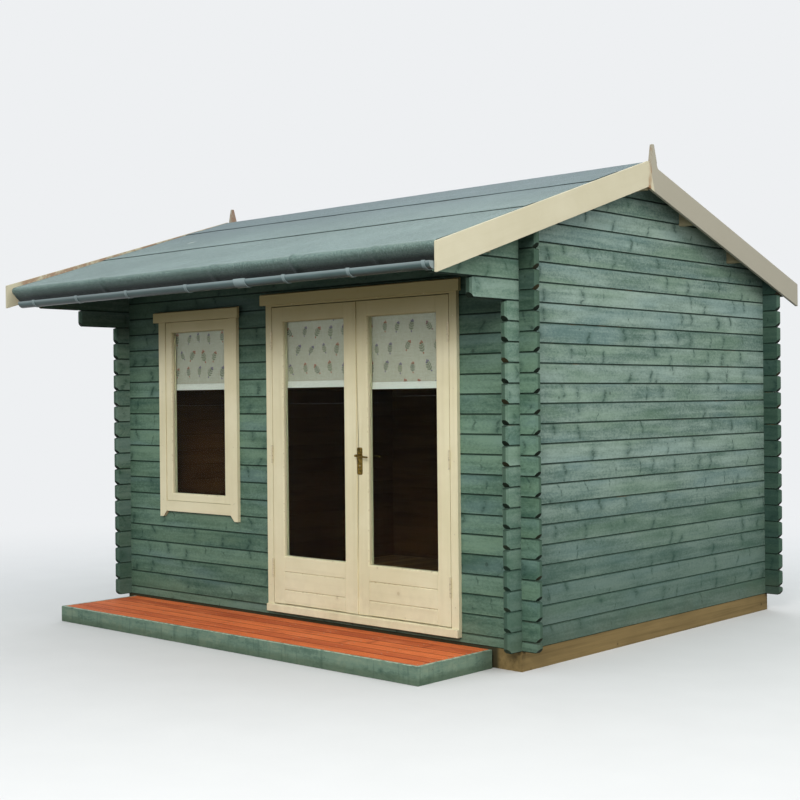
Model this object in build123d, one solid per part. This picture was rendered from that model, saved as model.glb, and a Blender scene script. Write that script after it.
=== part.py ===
"""Log cabin: a garden summerhouse of interlocked square logs, with double glazed doors and a window
under a deep front eave, a felted pitched roof, a gutter and a low deck.

Millimetres. +X runs to the right along the front wall, +Y runs from the front to the back and +Z is up.
The origin lies on the ground below the centre of the walls' outline.
"""
import os
from math import ceil, cos, floor, radians, sin, tan

from build123d import *

# Clearances
seam = 0.3
running_gap = 0.3
cutter_margin = 1.0

# Walls of square logs, crossed at the corners
wall_width = 3620.0
wall_depth = 2868.0
log_height = 114.0
log_thickness = 44.0
log_overrun = 117.0
log_v_joint = 5.0
log_end_chamfer = 11.0
log_end_cut_length = 26.0
log_end_bottom_cut = 27.0
log_end_top_cut = 10.0
shortest_log = 150.0

# Bearers and floor, from the ground up to the underside of the walls
base_height = 115.0
bearer_width = 58.0
bearer_inset = 6.0
bearer_count = 5
floor_thickness = 19.0

# Corbels: gable logs that run forward under the front eave
short_corbel_course = 17
short_corbel_reach = 414.0
long_corbel_course = 18
long_corbel_reach = 745.0

# Roof, measured from the top edge of the bargeboards
roof_pitch = 18.0
ridge_offset_y = -320.0
ridge_height = 2829.0
eave_run = 1956.0
left_gable_overhang = 152.0
right_gable_overhang = 122.0
roof_board_thickness = 19.0
felt_thickness = 4.0
felt_below_bargeboard = 1.0
felt_lap = 75.0
felt_lap_ramp = 60.0
ridge_cap_reach = 520.0
lower_sheet_top = 1265.0
eaves_board_thickness = 50.0
eaves_board_depth = 88.0
eaves_board_lean = 26.0
eaves_nose_radius = 14.0
felt_flap_drop = 100.0
bargeboard_thickness = 20.0
bargeboard_depth = 150.0
bargeboard_past_eave = 6.0
left_bargeboard_past_eave = 38.0
left_bargeboard_rise = 32.0
bargeboard_past_ridge = 12.0

# The pointed horn on the upper end of each rear bargeboard
horn_start = 26.0
horn_width = 74.0
horn_height = 109.0
horn_tip_start = 49.0
horn_tip_width = 18.0
horn_flare = 30.0
horn_flare_dip = 8.0

# Purlins
ridge_beam_width = 58.0
ridge_beam_depth = 145.0
purlin_width = 45.0
purlin_depth = 110.0
purlin_spacing = 612.0
canopy_purlin_offset_y = -420.0

# Gutter along the front eave
gutter_radius = 38.0
gutter_side = 4.0
gutter_wall = 2.0
gutter_left_gap = 142.0
gutter_right_gap = 4.0
gutter_past_eave = 4.0
gutter_rim_below_felt = 13.4
bracket_wall = 3.0
union_wall = 4.0
bracket_lip = 5.0
bracket_post_inset = 4.0
bracket_width = 22.0
union_width = 95.0
bracket_places = (40.0, 570.0, 1070.0, 1930.0, 2520.0, 3060.0, 3560.0)
union_place = 1440.0

# Door opening and its frame
door_centre_x = 566.0
door_width = 1516.0
door_sill_top = 80.0
door_head = 2007.0
casing_width = 55.0
casing_thickness = 25.0
frame_core = 25.0
frame_stop = 15.0
inner_casing_thickness = 20.0
sill_lip = 15.0
sill_drip = 27.0
sill_fall = 4.0
head_board_height = 75.0
head_board_thickness = 22.0
head_board_overhang = 35.0
head_board_above_opening = 11.0
head_board_bevel = 8.0

# Door leaves
leaf_thickness = 44.0
leaf_gap = 5.0
meeting_gap = 7.0
stile_width = 100.0
top_rail_height = 98.0
panel_board_heights = (91.0, 117.0, 102.0)
panel_v_joint = 4.0
glass_thickness = 4.0
glass_groove = 8.0
glass_setback = 26.0
glazing_chamfer = 7.0
cover_strip_width = 9.0
cover_strip_thickness = 9.0

# Butt hinges, with their pins just in front of the casing
hinge_radius = 6.5
hinge_height = 114.0
hinge_pin_forward = 7.0
hinge_plate_thickness = 1.9
hinge_plate_depth = 32.0
hinge_heights = (230.0, 965.0, 1700.0)
knuckle_gap = 0.5

# Lever handle
handle_height = 1058.0
handle_from_edge = 31.0
plate_width = 43.0
plate_height = 167.0
plate_thickness = 3.0
plate_above_spindle = 50.0
keyhole_below_spindle = 62.0
keyhole_radius = 4.0
keyhole_slot_width = 3.0
keyhole_slot_drop = 12.0
spindle_radius = 4.0
spindle_hole_radius = 9.0
neck_radius = 8.0
neck_length = 42.0
lever_length = 93.0
lever_droop = 5.0
lever_radius = 7.0
lever_tip_radius = 5.5

# Window
window_centre_x = -965.0
window_width = 694.0
window_sill_top = 700.0
window_head = 1955.0
window_casing_width = 72.0
window_course_bottom = 5
window_course_top = 17
window_tail_drop = 40.0
window_tail_cut = 38.0
sash_thickness = 44.0
sash_gap = 2.0
sash_stile = 63.0
sash_bottom_rail = 54.0
sash_top_rail = 74.0

# Roller blinds on the room side of the glass
blind_side_margin = 22.0
blind_tube_radius = 12.0
blind_stand_off = 19.0
blind_fabric_thickness = 1.0
blind_hem_height = 42.0
blind_hem_thickness = 4.0
blind_top_below_leaf = 20.0
blind_bracket_thickness = 6.0
left_blind_hem = 1480.0
right_blind_hem = 1463.0
window_blind_hem = 1477.0

# Deck in front of the doors
deck_left_x = -1700.0
deck_right_x = 1610.0
deck_front_offset_y = -640.0
deck_top_below_walls = 10.0
deck_board_thickness = 28.0
deck_board_count = 6
deck_board_gap = 5.0
deck_wall_gap = 14.0
deck_fascia_thickness = 20.0
deck_joist_width = 44.0
deck_joist_count = 10

# Worked out from the sizes above
front_y = -wall_depth / 2
back_y = wall_depth / 2
left_x = -wall_width / 2
right_x = wall_width / 2
pitch = radians(roof_pitch)
ridge_y = ridge_offset_y
ridge_z = base_height + ridge_height
boards_top_depth = felt_below_bargeboard + 2 * felt_thickness
boards_bottom_depth = boards_top_depth + roof_board_thickness
eave_slope_length = eave_run / cos(pitch)
roof_left_x = left_x - left_gable_overhang
roof_right_x = right_x + right_gable_overhang
eaves_back = eave_slope_length - felt_thickness - eaves_board_thickness
gutter_y = ridge_y - eave_run - gutter_past_eave
casing_face_y = front_y - casing_thickness
wall_inside_y = front_y + log_thickness
leaf_back_y = casing_face_y + leaf_thickness
stop_y = leaf_back_y + leaf_gap
door_left_x = door_centre_x - door_width / 2
door_right_x = door_centre_x + door_width / 2
leaf_width = (door_width - 2 * leaf_gap - meeting_gap) / 2
leaf_bottom_z = base_height + door_sill_top + leaf_gap
leaf_top_z = base_height + door_head - leaf_gap
window_left_x = window_centre_x - window_width / 2
window_right_x = window_centre_x + window_width / 2
window_rough_bottom = base_height + (window_course_bottom + 0.5) * log_height
window_rough_top = base_height + (window_course_top + 0.5) * log_height
deck_top_z = base_height - deck_top_below_walls
deck_front_y = front_y + deck_front_offset_y


def block(x0, x1, y0, y1, z0, z1):
    """A box between two corners."""
    return Pos((x0 + x1) / 2, (y0 + y1) / 2, (z0 + z1) / 2) * Box(x1 - x0, y1 - y0, z1 - z0)


def outline(points, arcs=()):
    """A closed wire. arcs holds (index, middle point): that side bends through the middle point."""
    bends = dict(arcs)
    sides = []
    for index, start in enumerate(points):
        end = points[(index + 1) % len(points)]
        if index in bends:
            sides.append(Edge.make_three_point_arc(start, bends[index], end))
        else:
            sides.append(Edge.make_line(start, end))
    return Wire(sides)


def bar_x(section, x0, x1, arcs=()):
    """Extrude a (y, z) section from x0 to x1."""
    points = [Vector(x0, y, z) for y, z in section]
    bends = [(index, Vector(x0, y, z)) for index, (y, z) in arcs]
    return Solid.extrude(Face(outline(points, bends)), Vector(x1 - x0, 0, 0))


def bar_y(section, y0, y1):
    """Extrude an (x, z) section from y0 to y1."""
    points = [Vector(x, y0, z) for x, z in section]
    return Solid.extrude(Face(outline(points)), Vector(0, y1 - y0, 0))


def bar_z(section, z0, z1):
    """Extrude an (x, y) section from z0 to z1."""
    points = [Vector(x, y, z0) for x, y in section]
    return Solid.extrude(Face(outline(points)), Vector(0, 0, z1 - z0))


def rod(radius, start, end):
    """A round rod from one point to another."""
    axis = Vector(*end) - Vector(*start)
    return Solid.make_cylinder(radius, axis.length, Plane(origin=start, z_dir=axis))


def save(node, pieces):
    """Write one node: its pieces are separate solids that don't touch."""
    solids = [solid for piece in pieces for solid in piece.solids()]
    export_step(Compound(children=solids), os.path.join("parts", node + ".step"))


def on_slope(side, along, depth):
    """(y, z) of a point on a roof slope, side -1 in front and +1 behind: along is measured down the
    slope from the ridge and depth square to it, both from the top edge of the bargeboards."""
    y = ridge_y + side * (along * cos(pitch) - depth * sin(pitch))
    z = ridge_z - along * sin(pitch) - depth * cos(pitch)
    return y, z


def at_ridge(depth):
    """(y, z) below the ridge, where a layer at this depth meets its mirror image."""
    return ridge_y, ridge_z - depth / cos(pitch)


def roof_height(y, depth):
    """Height of a layer of the roof at this depth, above the point y."""
    return ridge_z - abs(y - ridge_y) * tan(pitch) - depth / cos(pitch)


def under_roof():
    """Everything below the roof boards, as one prism to trim walls and purlins with."""
    reach = 2 * eave_run
    depth = boards_bottom_depth + seam
    section = [
        (ridge_y - reach, -base_height),
        (ridge_y + reach, -base_height),
        (ridge_y + reach, roof_height(ridge_y + reach, depth)),
        (ridge_y, roof_height(ridge_y, depth)),
        (ridge_y - reach, roof_height(ridge_y - reach, depth)),
    ]
    return bar_x(section, 2 * left_x, 2 * right_x)


def log(start, end, bottom, top, near, chamfered=(True, True)):
    """One log along X from start to end, with V joints along its edges and chamfered ends: a small
    chamfer on the upright edges, a long one on the bottom edge and a flatter one on the top edge.
    near is the y of its nearer face."""
    far = near + log_thickness
    v = log_v_joint
    section = [
        (near + v, bottom), (far - v, bottom), (far, bottom + v), (far, top - v),
        (far - v, top), (near + v, top), (near, top - v), (near, bottom + v),
    ]
    body = bar_x(section, start, end)
    if not any(chamfered):
        return body
    side_cuts = (log_end_cut_length, log_end_bottom_cut, log_end_top_cut)
    plan_cuts = (log_end_chamfer, log_end_chamfer, log_end_chamfer)
    side_view = end_cut_outline(start, end, bottom, top, chamfered, side_cuts)
    plan_view = end_cut_outline(start, end, near, far, chamfered, plan_cuts)
    return body & bar_y(side_view, near, far) & bar_z(plan_view, bottom, top)


def end_cut_outline(start, end, low, high, chamfered, cuts):
    """A long rectangle whose corners are cut off at the chamfered ends.
    cuts are the length along the log, the low corner's cut and the high corner's."""
    length, low_cut, high_cut = cuts
    points = []
    for place, inward, wanted in ((start, 1, chamfered[0]), (end, -1, chamfered[1])):
        inner = place + inward * length
        ends = [(inner, low), (place, low + low_cut), (place, high - high_cut), (inner, high)]
        if not wanted:
            ends = [(place, low), (place, high)]
        points += ends if inward > 0 else ends[::-1]
    return points


def crossing_notch(x0, x1, y0, y1, bottom):
    """The lower half of a log where it saddles the log that crosses it."""
    slack = seam / 2
    near = y0 - cutter_margin
    far = y1 + cutter_margin
    return block(x0 - slack, x1 + slack, near, far, bottom - cutter_margin, bottom + log_height / 2)


def gable_columns():
    """The two strips of X that the gable walls fill."""
    return ((left_x, left_x + log_thickness), (right_x - log_thickness, right_x))


def course_logs(near, first, last, start, end, openings=()):
    """Logs of a front or back wall, in courses that lie half a log above those of the gables."""
    outer_ends = (start < left_x, end > right_x)
    logs = []
    for course in range(first, last + 1):
        bottom = base_height + (course - 0.5) * log_height
        top = bottom + log_height - seam
        if course == 0:
            bottom = base_height
        piece = log(start, end, bottom, top, near, outer_ends)
        if course > 0:
            for x0, x1 in gable_columns():
                if x0 > start and x1 < end:
                    piece -= crossing_notch(x0, x1, near, near + log_thickness, bottom)
        for opening in openings:
            piece -= opening
        logs.append(piece)
    return logs


def top_log(near, course):
    """The uppermost log of a front or back wall, bevelled to the roof."""
    far = near + log_thickness
    bottom = base_height + (course - 0.5) * log_height
    top = max(roof_height(near, boards_bottom_depth), roof_height(far, boards_bottom_depth))
    piece = log(left_x - log_overrun, right_x + log_overrun, bottom, top + log_v_joint, near)
    for x0, x1 in gable_columns():
        piece -= crossing_notch(x0, x1, near, far, bottom)
    return piece & under_roof()


def last_course(near):
    """Number of the uppermost course, which takes in what is left when that is under half a log."""
    far = near + log_thickness
    low = min(roof_height(near, boards_bottom_depth), roof_height(far, boards_bottom_depth))
    return floor((low - base_height) / log_height)


def gable_logs(near, pockets):
    """Logs of one gable wall, trimmed to the roof, with pockets for the purlins."""
    trim = under_roof()
    peak = roof_height(ridge_y, boards_bottom_depth)
    count = ceil((peak - base_height) / log_height)
    front_top = base_height + last_course(front_y) * log_height
    back_top = base_height + last_course(back_y - log_thickness) * log_height
    logs = []
    for course in range(count):
        bottom = base_height + course * log_height
        top = bottom + log_height - seam
        reach = log_overrun
        if course == short_corbel_course:
            reach = short_corbel_reach
        if course >= long_corbel_course:
            reach = long_corbel_reach
        start = front_y - reach
        end = back_y + log_overrun
        piece = log(start, end, bottom, top, -near - log_thickness)
        piece = Rot(0, 0, 90) * piece
        slack = seam / 2
        columns = (
            (front_y, front_y + log_thickness, front_top), (back_y - log_thickness, back_y, back_top),
        )
        for y0, y1, wall_top in columns:
            high = bottom + log_height / 2
            if bottom >= wall_top - cutter_margin:
                high = top + cutter_margin
            piece -= block(
                near - cutter_margin, near + log_thickness + cutter_margin, y0 - slack, y1 + slack,
                bottom - cutter_margin, high,
            )
        piece = piece & trim
        for pocket in pockets:
            piece -= pocket
        for solid in piece.solids():
            if solid.bounding_box().size.Y > shortest_log:
                logs.append(solid)
    return logs


def purlin(y, width, bottom, slack=0.0):
    """A purlin along the roof, bevelled to it on top."""
    half = width / 2 + slack
    top = ridge_z
    length = (roof_left_x + seam - slack, roof_right_x - seam + slack)
    body = block(length[0], length[1], y - half, y + half, bottom - slack, top)
    return body if slack else body & under_roof()


def purlin_bottom(y, width, depth):
    """Underside of a purlin, with its depth taken on its higher side."""
    nearest = max(0.0, abs(y - ridge_y) - width / 2)
    return roof_height(ridge_y + nearest, boards_bottom_depth) - depth


def purlin_places():
    """(node, y, width, bottom) of each purlin."""
    ridge_bottom = purlin_bottom(ridge_y, ridge_beam_width, ridge_beam_depth)
    ridge = ("ridge_beam", ridge_y, ridge_beam_width, ridge_bottom)
    canopy_y = front_y + canopy_purlin_offset_y
    canopy_bottom = base_height + (long_corbel_course + 1) * log_height
    places = [ridge, ("front_purlins", canopy_y, purlin_width, canopy_bottom)]
    for node, step in (("front_purlins", -1), ("rear_purlins", 1), ("rear_purlins", 2)):
        y = ridge_y + step * purlin_spacing
        places.append((node, y, purlin_width, purlin_bottom(y, purlin_width, purlin_depth)))
    return places


def make_walls():
    """Front, back and gable walls."""
    outer = (left_x - log_overrun, right_x + log_overrun)
    door_rough = block(
        door_left_x - frame_core, door_right_x + frame_core,
        front_y - cutter_margin, wall_inside_y + cutter_margin,
        base_height + log_height / 2 - seam, base_height + door_head + frame_core + seam,
    )
    beside_window = (window_left_x - frame_core - seam, window_right_x + frame_core + seam)
    beside_door = (door_left_x - frame_core - seam, door_right_x + frame_core + seam)
    under = window_course_bottom
    over = window_course_top
    last = last_course(front_y)
    save("front_sill_log", course_logs(front_y, 0, 0, *outer))
    save("front_wall_under_window", course_logs(front_y, 1, under, outer[0], beside_door[0]))
    save("front_wall_left", course_logs(front_y, under + 1, over, outer[0], beside_window[0]))
    save("front_wall_middle", course_logs(front_y, under + 1, over, beside_window[1], beside_door[0]))
    save("front_wall_right", course_logs(front_y, 1, over, beside_door[1], outer[1]))
    over_doors = course_logs(front_y, over + 1, last - 1, *outer, openings=[door_rough])
    save("front_wall_top", over_doors + [top_log(front_y, last)])
    back_near = back_y - log_thickness
    back_last = last_course(back_near)
    save("back_wall", course_logs(back_near, 0, back_last - 1, *outer) + [top_log(back_near, back_last)])
    pockets = [purlin(y, width, bottom, seam) for _, y, width, bottom in purlin_places()]
    save("left_gable_wall", gable_logs(left_x, pockets))
    save("right_gable_wall", gable_logs(right_x - log_thickness, pockets))


def make_base():
    """Bearers under the walls and the floor, and the floor itself."""
    low_x = left_x + bearer_inset
    high_x = right_x - bearer_inset - bearer_width
    step = (high_x - low_x) / (bearer_count - 1)
    starts = [low_x + step * index for index in range(bearer_count)]
    y0 = front_y + bearer_inset
    y1 = back_y - bearer_inset
    bearers = [block(x, x + bearer_width, y0, y1, 0, base_height) for x in starts]
    for x, following in zip(starts, starts[1:]):
        for y in (y0, y1 - bearer_width):
            between = (x + bearer_width + seam, following - seam)
            bearers.append(block(*between, y, y + bearer_width, 0, base_height))
    save("floor_bearers", bearers)
    inside = log_thickness + seam
    floor_board = block(
        left_x + inside, right_x - inside, front_y + inside, back_y - inside,
        base_height, base_height + floor_thickness,
    )
    save("floor_boards", [floor_board])


def make_deck():
    """Deck boards on joists, with a fascia on three sides."""
    inner_left = deck_left_x + deck_fascia_thickness + seam
    inner_right = deck_right_x - deck_fascia_thickness - seam
    inner_front = deck_front_y + deck_fascia_thickness + seam
    inner_back = front_y - deck_wall_gap
    width = (inner_back - inner_front - (deck_board_count - 1) * deck_board_gap) / deck_board_count
    under_boards = deck_top_z - deck_board_thickness
    boards = []
    for index in range(deck_board_count):
        y = inner_front + index * (width + deck_board_gap)
        boards.append(block(inner_left, inner_right, y, y + width, under_boards, deck_top_z))
    save("deck_boards", boards)
    joist_back = front_y + bearer_inset - seam
    step = (inner_right - inner_left - deck_joist_width) / (deck_joist_count - 1)
    joists = []
    for index in range(deck_joist_count):
        x = inner_left + index * step
        joists.append(block(x, x + deck_joist_width, inner_front, joist_back, 0, under_boards))
    save("deck_joists", joists)
    thickness = deck_fascia_thickness
    front = block(deck_left_x, deck_right_x, deck_front_y, deck_front_y + thickness, 0, deck_top_z)
    sides = []
    for x in (deck_left_x, deck_right_x - thickness):
        sides.append(block(x, x + thickness, inner_front, inner_back, 0, deck_top_z))
    save("deck_fascia", [front] + sides)


def lapped_sheet(side, upper, lower, step):
    """Section of a felt sheet that laps over the sheet below it, whose upper edge lies at step."""
    top = boards_top_depth - felt_thickness
    near_ridge = [at_ridge(top), at_ridge(boards_top_depth)] if upper is None else [
        on_slope(side, upper, top), on_slope(side, upper, boards_top_depth)]
    return [
        near_ridge[0],
        on_slope(side, step - felt_lap_ramp, top),
        on_slope(side, step, top - felt_thickness),
        on_slope(side, lower, top - felt_thickness),
        on_slope(side, lower, top),
        on_slope(side, step, top),
        on_slope(side, step, boards_top_depth),
        near_ridge[1],
    ]


def eave_nose(side, outside, depth):
    """Section of the eave from the slope round its nose and down the leaning face to this depth, as the
    start, middle and end of the arc and the foot of the face, outside the eaves board by this much."""
    radius = eaves_nose_radius + outside
    centre_along = eave_slope_length - felt_thickness - eaves_nose_radius
    centre_depth = boards_top_depth + eaves_nose_radius
    turns = (-90.0, (eaves_board_lean - 90.0) / 2, eaves_board_lean)
    points = []
    for turn in turns:
        along = centre_along + radius * cos(radians(turn))
        points.append((along, centre_depth + radius * sin(radians(turn))))
    end_along, end_depth = points[-1]
    points.append((end_along - (depth - end_depth) * tan(radians(eaves_board_lean)), depth))
    return [on_slope(side, *point) for point in points]


def felt_flap_depth():
    return boards_top_depth - felt_thickness + felt_flap_drop


def gutter_rim():
    """Height of the gutter's rim, below the foot of the felt."""
    return eave_nose(-1, felt_thickness, felt_flap_depth())[-1][1] - gutter_rim_below_felt


def eave_sheet(side, upper, x0, x1):
    """The lowest felt sheet, wrapped over the rounded eave and down its leaning face."""
    start, middle, end, foot = eave_nose(side, felt_thickness, felt_flap_depth())
    inner_start, inner_middle, inner_end, inner_foot = eave_nose(side, 0.0, felt_flap_depth())
    section = [
        on_slope(side, upper, boards_top_depth - felt_thickness), start, end, foot,
        inner_foot, inner_end, inner_start, on_slope(side, upper, boards_top_depth),
    ]
    return bar_x(section, x0, x1, [(1, middle), (5, inner_middle)])


def eaves_board(side, x0, x1):
    """Timber across the ends of the roof boards, with a rounded top edge and a leaning face."""
    bottom_depth = boards_top_depth + eaves_board_depth
    start, middle, end, foot = eave_nose(side, 0.0, bottom_depth)
    section = [
        on_slope(side, eaves_back, boards_top_depth), start, end, foot,
        on_slope(side, eaves_back, bottom_depth),
    ]
    return bar_x(section, x0, x1, [(1, middle)])


def make_roof():
    """Purlins, boards, felt, eaves boards and bargeboards."""
    for node in ("ridge_beam", "front_purlins", "rear_purlins"):
        places = [place[1:] for place in purlin_places() if place[0] == node]
        save(node, [purlin(*place) for place in places])
    x0 = roof_left_x + seam
    x1 = roof_right_x - seam
    board_end = eaves_back - seam
    eaves = []
    for side, where in ((-1, "front"), (1, "rear")):
        section = [
            at_ridge(boards_top_depth), on_slope(side, board_end, boards_top_depth),
            on_slope(side, board_end, boards_bottom_depth), at_ridge(boards_bottom_depth),
        ]
        save(where + "_roof_boards", [bar_x(section, x0, x1)])
        eaves.append(eaves_board(side, x0, x1))
        lap = lower_sheet_top - felt_lap
        save(where + "_felt_lower_sheet", [eave_sheet(side, lap, x0, x1)])
        cap_lap = ridge_cap_reach - felt_lap
        save(where + "_felt_upper_sheet", [bar_x(lapped_sheet(side, cap_lap, lower_sheet_top, lap), x0, x1)])
    save("eaves_boards", eaves)
    cap_lap = ridge_cap_reach - felt_lap
    halves = [lapped_sheet(side, None, ridge_cap_reach, cap_lap) for side in (-1, 1)]
    save("ridge_felt", [bar_x(halves[0] + halves[1][-2:0:-1], x0, x1)])
    left_board_x = roof_left_x - bargeboard_thickness
    left_front = front_bargeboard(left_board_x, left_bargeboard_past_eave, left_bargeboard_rise)
    right_front = front_bargeboard(roof_right_x, bargeboard_past_eave, 0.0)
    save("left_bargeboards", [left_front, rear_bargeboard(left_board_x)])
    save("right_bargeboards", [right_front, rear_bargeboard(roof_right_x)])


def bargeboard_eave(side, past_eave, rise):
    """(y, z) of the lower and the upper corner of a bargeboard, cut plumb at the eave and raised there
    by rise above the line of the roof."""
    y = ridge_y + side * (eave_run + past_eave)
    return (y, roof_height(y, bargeboard_depth) + rise), (y, roof_height(y, 0) + rise)


def bargeboard_joint(slack):
    """(y, z) of the upper and the lower end of the joint of a pair of bargeboards: the front board runs
    on past the ridge and is cut square."""
    y = ridge_y + bargeboard_past_ridge + slack
    run = bargeboard_depth / cos(2 * pitch)
    return (y, roof_height(y, 0)), (y + run * sin(pitch), roof_height(y, 0) - run * cos(pitch))


def front_bargeboard(x, past_eave, rise):
    """The front board of a gable, whose upper corner is trimmed to the rear slope."""
    joint_top, joint_bottom = bargeboard_joint(-seam / 2)
    eave_bottom, eave_top = bargeboard_eave(-1, past_eave, rise)
    section = [
        (ridge_y, ridge_z), joint_top, joint_bottom, (ridge_y, roof_height(ridge_y, bargeboard_depth)),
        eave_bottom, eave_top,
    ]
    return bar_x(section, x, x + bargeboard_thickness)


def rear_bargeboard(x):
    """The rear board of a gable, with a pointed horn that flares into its top edge."""
    joint_top, joint_bottom = bargeboard_joint(seam / 2)
    eave_bottom, eave_top = bargeboard_eave(1, bargeboard_past_eave, 0.0)
    start = ridge_y + horn_start
    shoulder = start + horn_width
    flare_end = shoulder + horn_flare
    flare_end_z = roof_height(flare_end, 0)
    tip = ridge_y + horn_tip_start
    section = [
        joint_top, (start, roof_height(start, 0)), (tip, ridge_z + horn_height),
        (tip + horn_tip_width, ridge_z + horn_height), (shoulder, ridge_z), (flare_end, flare_end_z),
        eave_top, eave_bottom, joint_bottom,
    ]
    flare_middle = (
        (shoulder + flare_end) / 2 - horn_flare_dip, (ridge_z + flare_end_z) / 2 - horn_flare_dip,
    )
    return bar_x(section, x, x + bargeboard_thickness, [(4, flare_middle)])


def gutter_section(radius, rim, side):
    """Points and bottom arc of a half-round section with short upright sides."""
    near = gutter_y - radius
    far = gutter_y + radius
    low = rim - side
    points = [(near, rim), (near, low), (far, low), (far, rim)]
    return points, (1, (gutter_y, low - radius))


def make_gutter():
    """Half-round gutter with stop ends, and the brackets that hold it to the eaves board."""
    x0 = roof_left_x + gutter_left_gap
    x1 = roof_right_x - gutter_right_gap
    rim = gutter_rim()
    points, arc = gutter_section(gutter_radius, rim, gutter_side)
    shell = bar_x(points, x0, x1, [arc])
    inner_radius = gutter_radius - gutter_wall
    points, arc = gutter_section(inner_radius, rim + cutter_margin, gutter_side + cutter_margin)
    save("gutter", [shell - bar_x(points, x0 + gutter_wall, x1 - gutter_wall, [arc])])
    brackets = [bracket(x1 - place, bracket_width, bracket_wall) for place in bracket_places]
    brackets.append(bracket(x1 - union_place, union_width, union_wall))
    save("gutter_brackets", brackets)


def bracket(centre, width, wall):
    """A band under the gutter, hooked over its front rim, with an arm back under the foot of the felt and
    a post up to the eaves board."""
    rim = gutter_rim()
    low = rim - gutter_side
    lip_low = rim + seam
    inner = gutter_radius + seam
    outer = inner + wall
    near = gutter_y - inner
    far = gutter_y + inner
    eaves_depth = boards_top_depth + eaves_board_depth + seam
    post = on_slope(-1, eaves_back + bracket_post_inset, eaves_depth)[0]
    post_back = post + bracket_wall
    section = [
        (near - wall, low), (far + wall, low), (far + wall, rim - bracket_wall),
        (post_back, rim - bracket_wall), (post_back, roof_height(post_back, eaves_depth)),
        (post, roof_height(post, eaves_depth)),
        (post, rim), (far, rim), (far, low), (near, low), (near, lip_low),
        (near + bracket_lip, lip_low), (near + bracket_lip, lip_low + wall), (near - wall, lip_low + wall),
    ]
    arcs = [(0, (gutter_y, low - outer)), (8, (gutter_y, low - inner))]
    return bar_x(section, centre - width / 2, centre + width / 2, arcs)


def frame_section(edge, inward, casing):
    """Plan of a side of a frame that grips the cut ends of the logs: edge is the x of the opening's
    side and inward points into the opening."""
    outer = edge - inward * casing
    core = edge - inward * frame_core
    stop = edge + inward * frame_stop
    inner_face = wall_inside_y + inner_casing_thickness
    return [
        (outer, casing_face_y), (edge, casing_face_y), (edge, stop_y), (stop, stop_y), (stop, inner_face),
        (outer, inner_face), (outer, wall_inside_y), (core, wall_inside_y), (core, front_y), (outer, front_y),
    ]


def frame_head_section(head, casing, core):
    """The same section as (y, z), for the head of a frame."""
    return [
        (casing_face_y, head + casing), (casing_face_y, head), (stop_y, head), (stop_y, head - frame_stop),
        (wall_inside_y + inner_casing_thickness, head - frame_stop),
        (wall_inside_y + inner_casing_thickness, head + casing), (wall_inside_y, head + casing),
        (wall_inside_y, head + core), (front_y, head + core), (front_y, head + casing),
    ]


def head_board(centre, width, bottom):
    """A board over a frame, bevelled on top to shed water."""
    front = casing_face_y - head_board_thickness
    top = bottom + head_board_height
    section = [
        (casing_face_y, bottom), (casing_face_y, top), (front, top - head_board_bevel), (front, bottom),
    ]
    half = width / 2 + head_board_overhang
    return bar_x(section, centre - half, centre + half)


def log_slots(x0, x1, low, high):
    """Room in the ends of the door's head and sill for the logs beside the opening."""
    rough_left = door_left_x - frame_core
    rough_right = door_right_x + frame_core
    outer_left = block(x0 - cutter_margin, rough_left, front_y, wall_inside_y, low, high)
    outer_right = block(rough_right, x1 + cutter_margin, front_y, wall_inside_y, low, high)
    return outer_left, outer_right


def make_door_frame():
    """Jambs, head, sill and the board over the doors."""
    sill_top = base_height + door_sill_top
    head = base_height + door_head
    stop_end = head - frame_stop
    jambs = []
    for edge, inward in ((door_left_x, 1), (door_right_x, -1)):
        jamb = bar_z(frame_section(edge, inward, casing_width), sill_top, head - seam)
        stop_corner = block(
            min(edge, edge + inward * frame_stop) - seam, max(edge, edge + inward * frame_stop) + seam,
            stop_y - cutter_margin, wall_inside_y + inner_casing_thickness + cutter_margin,
            stop_end - seam, head,
        )
        jambs.append(jamb - stop_corner)
    x0 = door_left_x - casing_width
    x1 = door_right_x + casing_width
    head_piece = bar_x(frame_head_section(head, casing_width, frame_core), x0, x1)
    for slot in log_slots(x0, x1, stop_end - cutter_margin, head + casing_width + cutter_margin):
        head_piece -= slot
    save("door_frame", jambs + [head_piece])
    half_log = base_height + log_height / 2
    front = casing_face_y - sill_lip
    sill = [
        (front, half_log - sill_drip), (front_y, half_log - sill_drip), (front_y, half_log),
        (wall_inside_y, half_log), (wall_inside_y, half_log - sill_drip),
        (wall_inside_y + inner_casing_thickness, half_log - sill_drip),
        (wall_inside_y + inner_casing_thickness, sill_top), (casing_face_y, sill_top),
        (front, sill_top - sill_fall),
    ]
    sill_piece = bar_x(sill, x0, x1)
    for slot in log_slots(x0, x1, half_log, sill_top + cutter_margin):
        sill_piece -= slot
    save("door_sill", [sill_piece])
    width = door_width + 2 * casing_width
    save("door_head_board", [head_board(door_centre_x, width, head + head_board_above_opening)])


def glazing_groove(x0, x1, z0, z1, front):
    """The slot that holds the edge of a sheet of glass all round."""
    reach = glass_groove + seam
    y = front + glass_setback
    return block(x0 - reach, x1 + reach, y - seam, y + glass_thickness + seam, z0 - reach, z1 + reach)


def glass_sheet(x0, x1, z0, z1, front):
    """A sheet of glass in its groove."""
    y = front + glass_setback
    reach = glass_groove
    return block(x0 - reach, x1 + reach, y, y + glass_thickness, z0 - reach, z1 + reach)


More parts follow.
